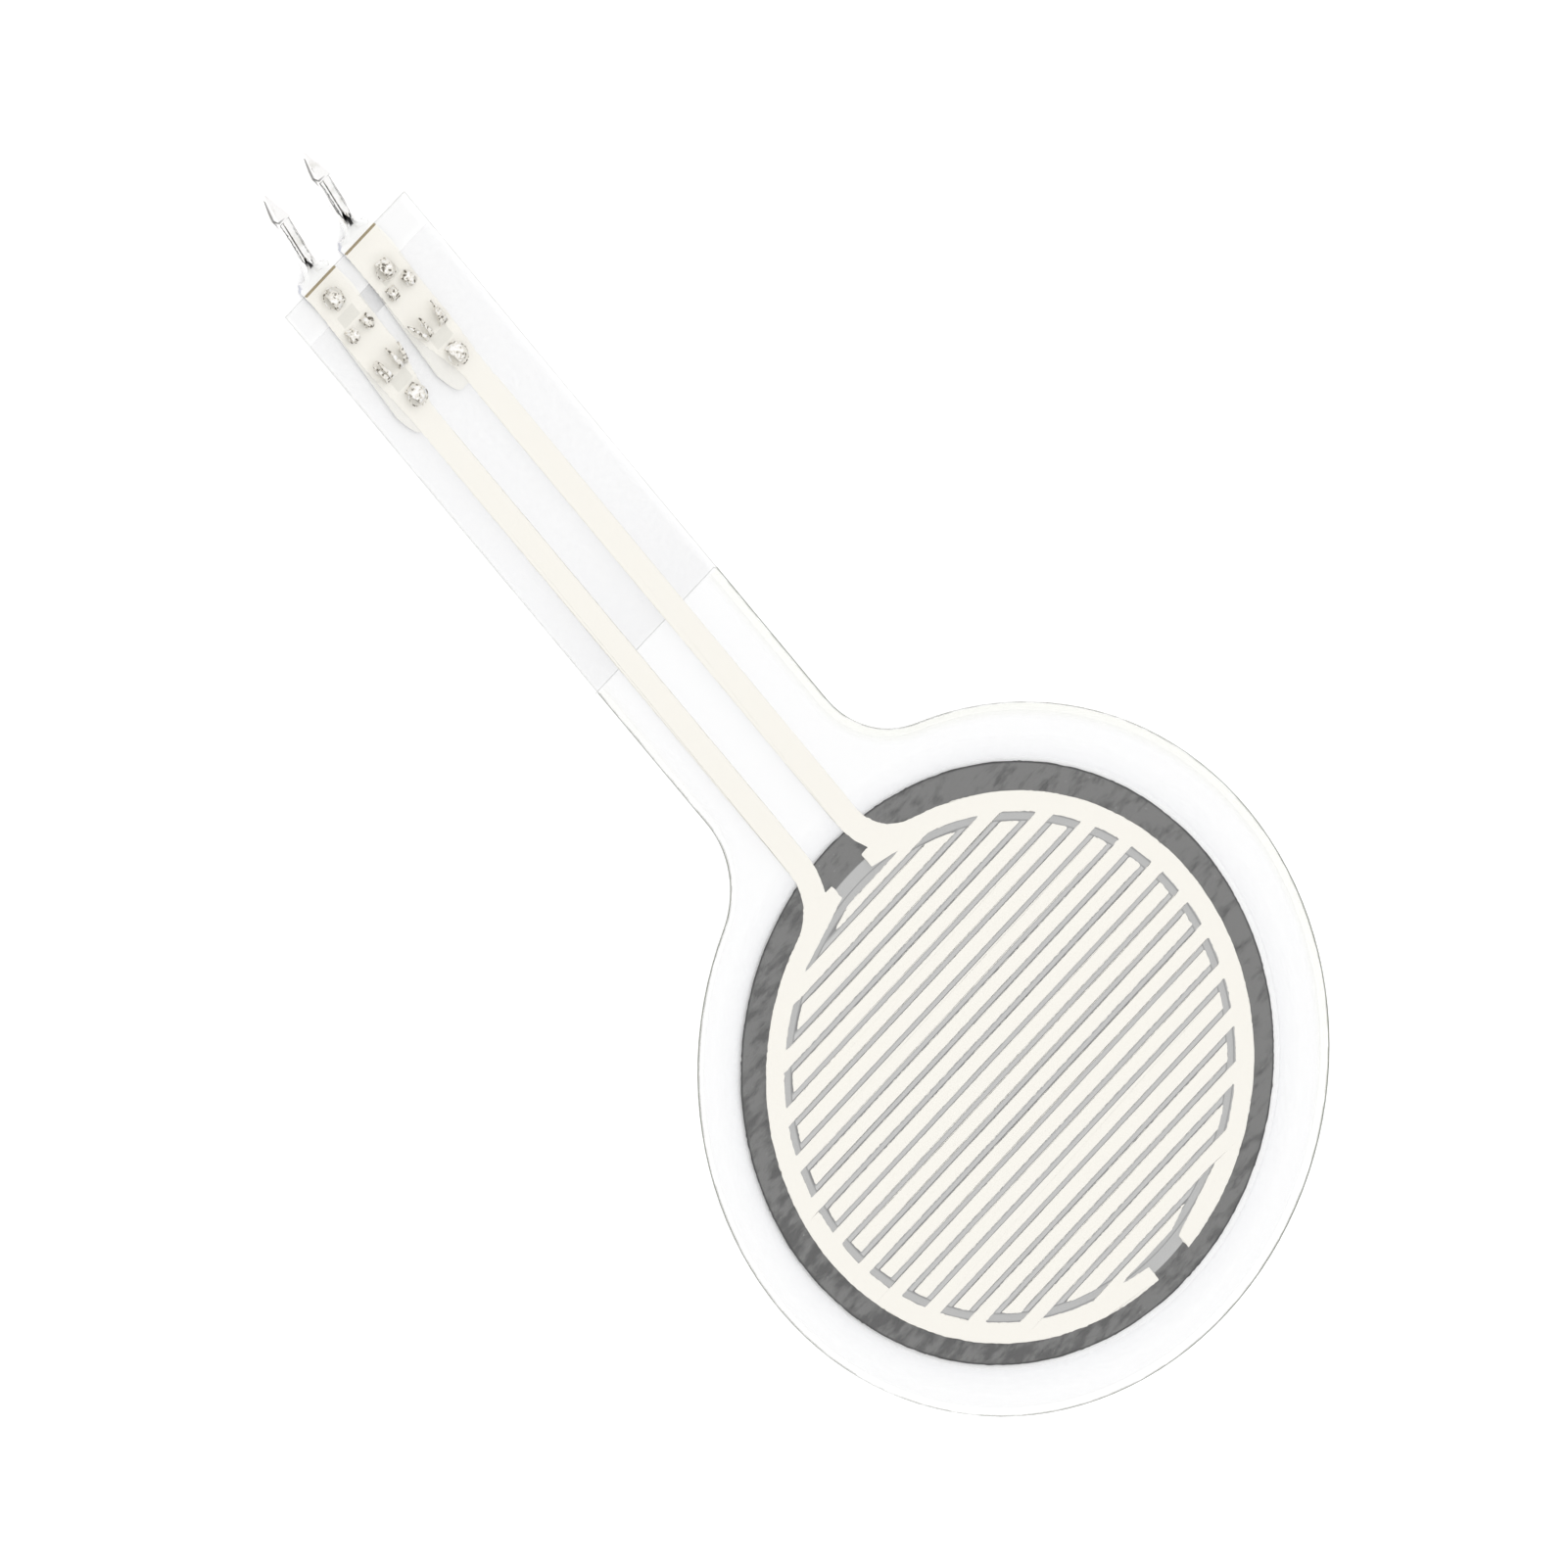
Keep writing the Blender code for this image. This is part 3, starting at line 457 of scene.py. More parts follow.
def tinPlate(name, look):
    made, add = newMaterial(name)
    point, _, _, y = flatPlace(add)
    patches = add("MapRange", add("TexNoise", point, 1 / look["dullSize"], 3.0), 0.5, 0.8)
    colour = add("Mix RGBA", patches, look["base"], look["dull"])
    # torn claws: beige-grey, with painted shade in dark marks and painted highlights in bright spots of plain tin, both
    # laid by noise
    torn = add("Attribute", attribute_name="torn").outputs["Fac"]
    clawMarks = add("TexNoise", point, 1 / look["clawMarkSize"], 2.0, 0.6)
    bare = add("Math MULTIPLY", add("MapRange", clawMarks, 0.62, 0.52), torn)
    colour = add("Mix RGBA", bare, colour, look["torn"])
    darkMarkMask = add("Math MULTIPLY", add("MapRange", clawMarks, 0.45, 0.39), torn)
    colour = add("Mix RGBA", darkMarkMask, colour, look["darkMarkShade"])
    # the die scours the strip matt where it narrows, and its left edge shows the bare metal there
    low = add("MapRange", y, *look["scouredFrom"])
    scoured = add("Math MULTIPLY", low, add("MapRange", y, *look["scouredTo"], 1.0, 0.0))
    colour = add("Mix RGBA", scoured, colour, look["scoured"])
    cut = add("Attribute", attribute_name="cut").outputs["Fac"]
    colour = add("Mix RGBA", cut, colour, look["cut"])
    # painted shade and dark reflections, from the contact's marks
    inside = add("Attribute", attribute_name="paintedDark").outputs["Fac"]
    colour = add("Mix RGBA", add("MapRange", inside, 0.3, 0.9), colour, look["paintedDark"])
    # under the film the glue wets the plate, which looks matt and cream there
    glued = add("Attribute", attribute_name="glued").outputs["Fac"]
    colour = add("Mix RGBA", glued, colour, look["glued"])
    matt = add("Math MAXIMUM", add("Math MULTIPLY", torn, look["tornMatt"]), glued)
    metal = add("MapRange", add("Math MAXIMUM", matt, scoured), 0.0, 1.0, 1.0, 0.0)
    drawn = add("Mapping", {"Vector": point, "Scale": (1.0, 0.05, 1.0)})
    lines = add("TexNoise", drawn, 1 / look["lineWidth"], 3.0)
    rough = add("MapRange", lines, 0.3, 0.7, look["roughness"] * 0.7, look["roughness"] * 1.5)
    rough = add("Math MULTIPLY_ADD", torn, look["tornRough"], add("Math MULTIPLY_ADD", glued, 0.5, rough))
    height = add("Math MULTIPLY_ADD", lines, 0.15, add("TexNoise", point, 1 / look["dentSize"], 2.0))
    bump = add("Bump", {"Height": height, "Distance": look["dentHeight"]})
    tin = add("BsdfPrincipled", {"Base Color": colour, "Roughness": rough, "Metallic": metal, "Normal": bump})
    add("OutputMaterial", tin)
    return made


# the back film's cut shows only where it ends across the tail
backFilmLook = dict(filmLook, glowShare=0.0, burrShare=0.0, edgeShare=0.34, edgeFrom=sizes["laminateEnd"] - 0.1 * mm)
paints = {
    "film": polyesterFilm("clearPolyesterFilm", filmLook, 1.0),
    "backFilm": polyesterFilm("clearPolyesterBackFilm", backFilmLook, -1.0),
    "adhesive": acrylicAdhesive("clearAcrylicAdhesive", adhesiveLook),
    "tape": coverTape("frostedCoverTape", tapeLook),
    "carbon": carbonInk("printedCarbonInk", carbonLook),
    "silver": silverInk("printedSilverInk", silverLook),
    "tin": tinPlate("brightTinPlate", tinLook),
}


def letLightThrough(piece):
    # no shadow, and no stop for the light that bounces off the table
    piece.visible_shadow = False
    piece.visible_diffuse = False


for name, paint in (("lower_film", "backFilm"), ("spacer_adhesive", "adhesive"), ("tail_cover_tape", "tape")):
    nodes[name].data.materials.clear()
    nodes[name].data.materials.append(paints[paint])
    letLightThrough(nodes[name])
print("stage: materials")


def newObject(name, data):
    made = bpy.data.objects.new(name, data)
    scene.collection.objects.link(made)
    return made


def addPiece(name, mesh, paint, slot, *replaced):
    mesh.materials.append(paint)
    piece = newObject(name, mesh)
    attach(piece, "root")
    if replaced:
        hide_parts(*replaced)
    return piece


def meshFrom(shape, name):
    mesh = bpy.data.meshes.new(name)
    shape.to_mesh(mesh)
    shape.free()
    return mesh


def frozen(piece):
    # the evaluated shape as a plain mesh; the working object goes
    graph = bpy.context.evaluated_depsgraph_get()
    mesh = bpy.data.meshes.new_from_object(piece.evaluated_get(graph))
    bpy.data.objects.remove(piece)
    return mesh


def markPoints(mesh, name, values):
    mesh.attributes.new(name, "FLOAT", "POINT").data.foreach_set("value", values)


def contactX(side):
    return sizes["printCentre"][0] + side * sizes["pinPitch"] / 2


# claws: x from the contact's middle, root y, the way it curls, size, lean of the tip
clawRows = {
    -1: [(0.0, 45.6, 1, "lone", 0.0), (0.0, 40.8, -1, "lone", 0.12)],
    1: [(0.0, 45.65, -1, "lone", 0.0), (0.0, 40.8, -1, "lone", -0.1)],
}
for rows in clawRows.values():
    rows += [(0.43 * sign, 44.5, -1, "slim", 0.1 * sign) for sign in (-1, 1)]
    rows += [(dx, 41.7, 1, "spike", dx * 0.35) for dx in (-0.54, -0.33, 0.32, 0.53)]

# the film and the ink under it are pushed up where the claws come through
dimples = {
    "from": 38.2 * mm,
    "slotsFrom": 39.5 * mm,
    "slotMargin": 0.1 * mm,
    "step": 0.11 * mm,
    "pushed": {"lone": (0.675 * mm, 0.108 * mm), "others": (0.50 * mm, 0.08 * mm), "lead": 0.15, "power": 2},
    "clawShading": {"lone": (0.62 * mm, 1.0), "others": (0.434 * mm, 1.0), "lead": 0.25, "power": 4},
    "ripple": 0.03 * mm,
    "rippleSize": 0.9 * mm,
}


def nearClaws(x, y, spread):
    # how much a place is raised, or how much painted shade it gets round the claws; lone, others: reach and most, by
    # the kind of the claw
    height = 0.0
    for side, rows in clawRows.items():
        for dx, root, way, kind, _ in rows:
            reach, most = spread["lone" if kind == "lone" else "others"]
            lead = spread["lead"] * way
            away = math.hypot(x - contactX(side) - dx * mm, y - (root + lead) * mm) / reach
            height = max(height, most * math.exp(-away ** spread["power"]))
    return height


def dimpleHeight(x, y, look):
    fade = ease((sizes["filmEnd"] - y) / (1.0 * mm)) * ease((y - look["from"]) / (1.5 * mm))
    fade *= ease((sizes["tailHalf"] - abs(x)) / (1.0 * mm))
    size = look["rippleSize"]
    wave = math.sin(x / size * 2.1 + 0.7) * math.sin(y / size * 1.3 + x / size)
    return (nearClaws(x, y, look["pushed"]) + look["ripple"] * (1 + wave)) * fade


# the steps that the screen's threads leave along every printed edge
meshEdge = {
    "step": 0.1 * mm,
    "size": 0.11 * mm,
    "depth": 0.04 * mm,
    "seed": 4,
}


def stepPrintedEdges(shape, look):
    outline = []
    for edge in shape.edges:
        level = abs(edge.verts[0].co.z - edge.verts[1].co.z) < 1e-7
        if level and edge.is_manifold and edge.calc_face_angle(0.0) > 1.0:
            outline.append(edge)
    for edge in outline:
        near, far = edge.verts
        for left in range(int(edge.calc_length() / look["step"]), 0, -1):
            near = bmesh.utils.edge_split(edge, near, 1 / (left + 1))[1]
            edge = next(link for link in near.link_edges if far in link.verts)
    # without a seed the noise would start from the clock
    noise.seed_set(look["seed"])
    for vert in shape.verts:
        push = noise.noise_vector(Vector((vert.co.x, vert.co.y, 0.0)) / look["size"])
        vert.co.x += push.x * look["depth"]
        vert.co.y += push.y * look["depth"] * ease((sizes["filmEnd"] - vert.co.y) / (0.3 * mm))


def inSlot(place):
    # within the pads' own outline
    dx = abs(abs(place.x - sizes["printCentre"][0]) - sizes["pinPitch"] / 2)
    margin = dimples["slotMargin"]
    return dx < sizes["padHalf"] - margin and dimples["slotsFrom"] < place.y < sizes["filmEnd"] - 2 * margin


def pressedCopy(name, source, paint, slot, printed=True, look=dimples):
    # a copy of a sheet from the frame, pushed up round the claws
    shape = bmesh.new()
    shape.from_mesh(nodes[source].data)
    bmesh.ops.remove_doubles(shape, verts=shape.verts, dist=0.0001 * mm)
    # the sheets close tightly round the claws: no slots
    slots = [face for face in shape.faces if abs(face.normal.z) < 0.5 and inSlot(face.calc_center_median())]
    bmesh.ops.delete(shape, geom=slots, context="FACES_ONLY")
    rims = [edge for edge in shape.edges if edge.is_boundary]
    bmesh.ops.holes_fill(shape, edges=rims, sides=0)
    # a fine grid on the tail's end, to press
    onTail = max(vert.co.y for vert in shape.verts) > look["from"]
    y = look["from"]
    while onTail and y < sizes["filmEnd"]:
        bmesh.ops.bisect_plane(shape, geom=shape.verts[:] + shape.edges[:] + shape.faces[:], dist=1e-7,
                               plane_co=(0, y, 0), plane_no=(0, 1, 0))
        y += look["step"]
    x = -sizes["tailHalf"] + look["step"]
    while onTail and x < sizes["tailHalf"]:
        zone = [face for face in shape.faces if max(vert.co.y for vert in face.verts) > look["from"] + 1e-6]
        # each once and always in the same order, so that every run gives the same mesh
        edges = dict.fromkeys(edge for face in zone for edge in face.edges)
        points = dict.fromkeys(vert for face in zone for vert in face.verts)
        bmesh.ops.bisect_plane(shape, geom=[*points, *edges, *zone], dist=1e-7, plane_co=(x, 0, 0), plane_no=(1, 0, 0))
        x += look["step"]
    for edge in shape.edges:
        edge.smooth = edge.is_manifold and edge.calc_face_angle(0.0) < math.radians(20)
    for face in shape.faces:
        face.smooth = True
    if printed:
        stepPrintedEdges(shape, meshEdge)
    for vert in shape.verts:
        if vert.co.y > look["from"]:
            vert.co.z += dimpleHeight(*vert.co.xy, look)
    mesh = meshFrom(shape, name)
    # painted shade round the claws, for the silver ink's colour
    near = [vert.co.y > look["from"] and nearClaws(*vert.co.xy, look["clawShading"]) for vert in mesh.vertices]
    markPoints(mesh, "clawShade", [float(value) for value in near])
    return addPiece(name, mesh, paint, slot, source)


letLightThrough(pressedCopy("upperFilm", "upper_film", paints["film"], "clear_film", printed=False))
for name in ("left", "right"):
    comb = pressedCopy(name + "SilverComb", "silver_comb_" + name, paints["silver"], "silver_ink")
    # some light spreads sideways in the clear films and gets under the print
    comb.visible_diffuse = False
pressedCopy("carbonPrint", "carbon_disc", paints["carbon"], "carbon_ink")
print("stage: film and prints")


# contacts: one stamped strip, folded to a square pin, pressed to a point; sizes as in the part's source
contact = {
    "middle": 0.113 * mm,
    "sheet": 0.19 * mm,
    "start": 38.95 * mm,
    "nose": 0.85 * mm,
    "noseLength": 1.2 * mm,
    "noseCut": 42.6 * mm,
    "noseCutSlope": 0.17,
    "width": 1.9 * mm,
    "skew": 0.065,
    "skewMiddle": 43.6 * mm,
    "shoulder": 47.2 * mm,
    "shoulderLength": 0.25 * mm,
    "foldStart": 47.38 * mm,
    "wallLength": 0.8 * mm,
    "lipLean": 0.36,
    "lipStart": 48.3 * mm,
    "lipLength": 0.6 * mm,
    "floor": 0.105 * mm,
    "wall": 0.17 * mm,
    "foldRadius": 0.12 * mm,
    "foldedHalf": 0.746 * mm,
    "seamShift": 0.11 * mm,
    "pinLength": 3.85 * mm,
    "pinWidth": 0.64 * mm,
    "pinHeight": 0.60 * mm,
    "rise": math.radians(20),
    "riseLength": 0.5 * mm,
    "pointLength": 1.4 * mm,
    "pointWidth": 0.74 * mm,
    "blunt": (0.1 * mm, 0.12 * mm),
    "fullness": 1.4,
    "edgeRound": 0.025 * mm,
    "pinMargin": 0.1 * mm,
    "pinMiddle": 0.21 * mm,
    "deepest": (0.03 * mm, 0.05 * mm),
    "slotShade": ((47.62 * mm, 0.2 * mm), (48.7 * mm, 0.4 * mm, 0.65)),
    "darkFoldFrom": 48.75 * mm,
    "darkFoldLift": 0.3 * mm,
    "darkFoldLines": {-1: ((-0.28 * mm, 0.02 * mm, 0.7), (0.22 * mm, 0.025 * mm, 1.0)),
                  1: ((-0.28 * mm, 0.02 * mm, 1.1), (0.22 * mm, 0.025 * mm, 0.85))},
    "dashSize": 0.55 * mm,
    "pointShade": 0.8,
    "cutFrom": 46.9 * mm,
    "cutTo": 47.9 * mm,
    "cutLift": 0.1 * mm,
    "cutLeftOf": -0.3 * mm,
}


def stripPoint(distance, wallTurn, lipTurn, look):
    # where a point of the flat strip goes, this far from its middle, once wall and lip are folded
    corner = look["foldRadius"] * quarter
    lengths = (look["floor"], corner, look["wall"], corner, 10 * look["wall"])
    turns = (0.0, wallTurn, 0.0, lipTurn, 0.0)
    x = z = angle = 0.0
    for length, turn in zip(lengths, turns):
        step = min(length, distance)
        steps = 6 if turn else 1
        for _ in range(steps):
            bend = turn / steps * (step / length)
            x += step / steps * math.cos(angle + bend / 2)
            z += step / steps * math.sin(angle + bend / 2)
            angle += bend
        distance -= step
        if distance <= 0:
            break
    return x, z


def contactStation(along, look):
    # half width of the strip, turn of its wall, turn of its lip
    if along < look["shoulder"]:
        nose = clamp((along - look["start"]) / look["noseLength"])
        return mix(look["nose"], look["width"], math.sqrt(nose)) / 2, 0.0, 0.0
    # cut in at 45 degrees, then folded so that the outline runs straight to the pin
    half = mix(look["width"] / 2, look["foldedHalf"], (along - look["shoulder"]) / look["shoulderLength"])
    wall = clamp((along - look["foldStart"]) / look["wallLength"])
    # the lips lean in early, which leaves a narrow slot at the root, and meet further up
    lean = look["lipLean"] * ease((along - look["foldStart"]) / (0.5 * mm))
    return half, math.acos(1 - wall), quarter * mix(lean, 1.0, ease((along - look["lipStart"]) / look["lipLength"]))


def risePath(along, look):
    start = look["shoulder"] - look["riseLength"] / 2
    radius = look["riseLength"] / look["rise"]
    angle = look["rise"] * clamp((along - start) / look["riseLength"])
    rest = max(0.0, along - start - look["riseLength"])
    y = min(along, start) + radius * math.sin(angle) + rest * math.cos(look["rise"])
    z = look["middle"] + radius * (1 - math.cos(angle)) + rest * math.sin(look["rise"])
    return y, z, angle


def foldedStrip(side, look):
    corner = look["foldRadius"] * quarter
    lip = look["floor"] + corner + look["wall"]
    breaks = [0.0, look["floor"] / 2, look["floor"]] + [look["floor"] + corner * i / 5 for i in range(1, 6)]
    breaks += [lip + corner * i / 5 for i in range(6)] + [look["foldedHalf"]]
    shares = [b / look["foldedHalf"] for b in breaks]
    shares = [-share for share in reversed(shares[1:])] + shares
    level = look["shoulder"] - look["riseLength"] / 2
    stations = [look["start"] + look["noseLength"] * (i / 10) ** 2 for i in range(11)]
    stations += [mix(look["start"] + look["noseLength"], level, i / 6) for i in range(1, 6)]
    stations += [level + look["riseLength"] * i / 12 for i in range(6)]
    stations += [look["shoulder"] + (look["foldStart"] - look["shoulder"]) * i / 3 for i in range(3)]
    foldLength = look["lipStart"] + look["lipLength"] - look["foldStart"]
    stations += [look["foldStart"] + foldLength * i / 30 for i in range(31)]
    stations += [look["shoulder"] + look["pinLength"] * i for i in (0.6, 0.8, 1.0)]
    shape = bmesh.new()
    grid = []
    for along in stations:
        half, wallTurn, lipTurn = contactStation(along, look)
        y, z, slope = risePath(along, look)
        # the right lip laps further over than the left one
        shift = look["seamShift"] / look["foldedHalf"] * ease((along - look["shoulder"]) / (0.5 * mm))
        skew = look["skew"] * (along - look["skewMiddle"]) * ease((look["shoulder"] - along) / (0.9 * mm))
        row = []
        for share in shares:
            sign = math.copysign(1.0, share)
            x, up = stripPoint(abs(share) * half * (1.0 + sign * shift), wallTurn, lipTurn, look)
            if side < 0 < share:
                # the left plate's nose is cut back on its inner side
                x *= 1.0 - look["noseCutSlope"] * max(0.0, look["noseCut"] - along) / mm
            place = (contactX(side) + skew + x * sign, y - up * math.sin(slope), z + up * math.cos(slope))
            row.append(shape.verts.new(place))
        grid.append(row)
    for lower, upper in zip(grid, grid[1:]):
        for i in range(len(lower) - 1):
            shape.faces.new((lower[i], lower[i + 1], upper[i + 1], upper[i])).smooth = True
    return shape


def pointShape(centre, look):
    # the pressed end: a leaf-shaped wedge with a soft ridge, closed at the root inside the pin
    root = look["shoulder"] + look["pinLength"]
    rows = 14
    shape = bmesh.new()
    rings = []
    for i in range(-1, rows + 1):
        share = max(0, i) / rows
        inside = i < 0
        y, z, slope = risePath(root + look["pointLength"] * share - (0.06 * mm if inside else 0.0), look)
        swell = -0.01 * mm if inside else 0.01 * mm
        width = look["pinWidth"] - 0.02 * mm if inside else look["pointWidth"]
        half = mix(width, look["blunt"][0], share ** look["fullness"]) / 2
        low = -look["sheet"] / 2 - swell
        high = low + mix(look["pinHeight"] + 2 * swell, look["blunt"][1], share)
        middle = mix(low, high, 0.55)
        ridge = half * mix(0.86, 0.64, 2 * share)
        section = ((-half, low), (half, low), (half, middle), (ridge, high), (-ridge, high), (-half, middle))
        places = [(centre + x, y - up * math.sin(slope), z + up * math.cos(slope)) for x, up in section]
        rings.append([shape.verts.new(place) for place in places])
    for near, far in zip(rings, rings[1:]):
        for i in range(6):
            shape.faces.new((near[i], near[(i + 1) % 6], far[(i + 1) % 6], far[i]))
    shape.faces.new(rings[0])
    shape.faces.new(rings[-1])
    bmesh.ops.recalc_face_normals(shape, faces=shape.faces)
    return shape


# claws, with the names of the tree's inputs
claw = {
    "lone": {"Width": 0.58 * mm, "Reach": 0.80 * mm, "Rise": 0.30 * mm, "Turn": 3.7, "Tip Share": 0.45,
             "Collar Radius": 0.45 * mm},
    "slim": {"Width": 0.44 * mm, "Reach": 0.55 * mm, "Rise": 0.24 * mm, "Turn": 3.6, "Tip Share": 0.40,
             "Collar Radius": 0.24 * mm},
    "spike": {"Width": 0.20 * mm, "Reach": 1.15 * mm, "Rise": 0.27 * mm, "Turn": 2.7, "Tip Share": 0.25,
              "Collar Radius": 0.09 * mm},
    "all": {"Sheet": 0.11 * mm, "Stem": 0.33 * mm, "Cup": 0.10 * mm, "Crumple": 0.15 * mm, "Crumple Size": 0.22 * mm,
            "Edge Round": 0.03 * mm, "Collar Height": 0.42 * mm, "Collar Sheet": 0.025 * mm, "Seed": 4},
}


def windowBoxes(side, look):
    # the holes that the claws leave in the plate
    shape = bmesh.new()
    for dx, root, way, kind, _ in clawRows[side]:
        near = root * mm + way * look["all"]["Sheet"] / 2
        far = near + way * look[kind]["Reach"]
        centre = (contactX(side) + dx * mm, (near + far) / 2, contact["middle"])
        spread = Matrix.Diagonal((look[kind]["Width"], abs(far - near), 2 * contact["sheet"], 1.0))
        bmesh.ops.create_cube(shape, size=1.0, matrix=Matrix.Translation(centre) @ spread)
    return shape


def markContact(mesh, side, look):
    # painted dark: shade inside the folded pin, where hardly any light gets in, and dark reflections in broken lines
    # on the folds' outer corners and the point's left side; glued: under the film; cut: bare along the left shoulder
    marks = {"paintedDark": [], "glued": [], "cut": []}
    pinEnd = look["shoulder"] + look["pinLength"]
    for vert in mesh.vertices:
        along = look["shoulder"] + (vert.co.y - look["shoulder"]) / math.cos(look["rise"])
        y, z, slope = risePath(along, look)
        lift = (vert.co.z - z) * math.cos(slope)
        dx = vert.co.x - contactX(side)
        inPin = along < pinEnd - look["pinMargin"]
        inwards = Vector((-dx, 0.0, look["pinMiddle"] - lift)).dot(vert.normal)
        tipShare = max(0.0, (along - pinEnd) / look["pointLength"])
        tipHalf = mix(look["pointWidth"], look["blunt"][0], tipShare ** look["fullness"]) / 2
        paintedDark = 0.0
        if inwards > look["deepest"][0] and lift > look["deepest"][1] and inPin:
            (darkFrom, darkFade), (paleFrom, paleFade, paleShare) = look["slotShade"]
            paintedDark = ease((along - darkFrom) / darkFade) * mix(1.0, paleShare, (along - paleFrom) / paleFade)
        elif inPin and along > look["darkFoldFrom"] and lift > look["darkFoldLift"]:
            dashes = 0.7 + noise.noise(Vector((side, along / look["dashSize"], math.copysign(3.0, dx))))
            for place, width, share in look["darkFoldLines"][side]:
                if abs(dx - place) < width:
                    paintedDark = clamp(share * dashes)
        elif not inPin and lift > 0.0 and dx < -0.8 * tipHalf:
            paintedDark = look["pointShade"]
        onShoulder = look["cutFrom"] < vert.co.y < look["cutTo"] and lift < look["cutLift"]
        marks["paintedDark"].append(paintedDark)
        marks["glued"].append(float(vert.co.y < sizes["filmEnd"] and vert.co.z > look["middle"]))
        marks["cut"].append(float(onShoulder and dx < look["cutLeftOf"] and vert.normal.x < -0.5))
    for name, values in marks.items():
        markPoints(mesh, name, values)


def makeContact(side, name, look):
    strip = newObject(name + "Strip", meshFrom(foldedStrip(side, look), name))
    thicken = strip.modifiers.new("sheet", "SOLIDIFY")
    thicken.thickness = look["sheet"]
    thicken.offset = 0.0
    thicken.use_even_offset = True
    windows = newObject(name + "Windows", meshFrom(windowBoxes(side, claw), name + "Windows"))
    cut = strip.modifiers.new("windows", "BOOLEAN")
    cut.object = windows
    cut.solver = "EXACT"
    soften = strip.modifiers.new("worn edges", "BEVEL")
    soften.width = look["edgeRound"]
    soften.segments = 2
    soften.limit_method = "ANGLE"
    soften.angle_limit = math.radians(50)
    shape = pointShape(contactX(side), look)
    shape.from_mesh(frozen(strip))
    bpy.data.objects.remove(windows)
    mesh = meshFrom(shape, name)
    for poly in mesh.polygons:
        poly.use_smooth = True
    mesh.set_sharp_from_angle(angle=math.radians(40))
    markContact(mesh, side, look)
    return addPiece(name, mesh, paints["tin"], "tinned_sheet", "crimp_contact_" + name.replace("Contact", ""))


makeContact(-1, "leftContact", contact)
# the right pin was folded a little later, which leaves a longer slot at its root
makeContact(1, "rightContact", {**contact, "lipStart": 48.55 * mm})
print("stage: contacts")


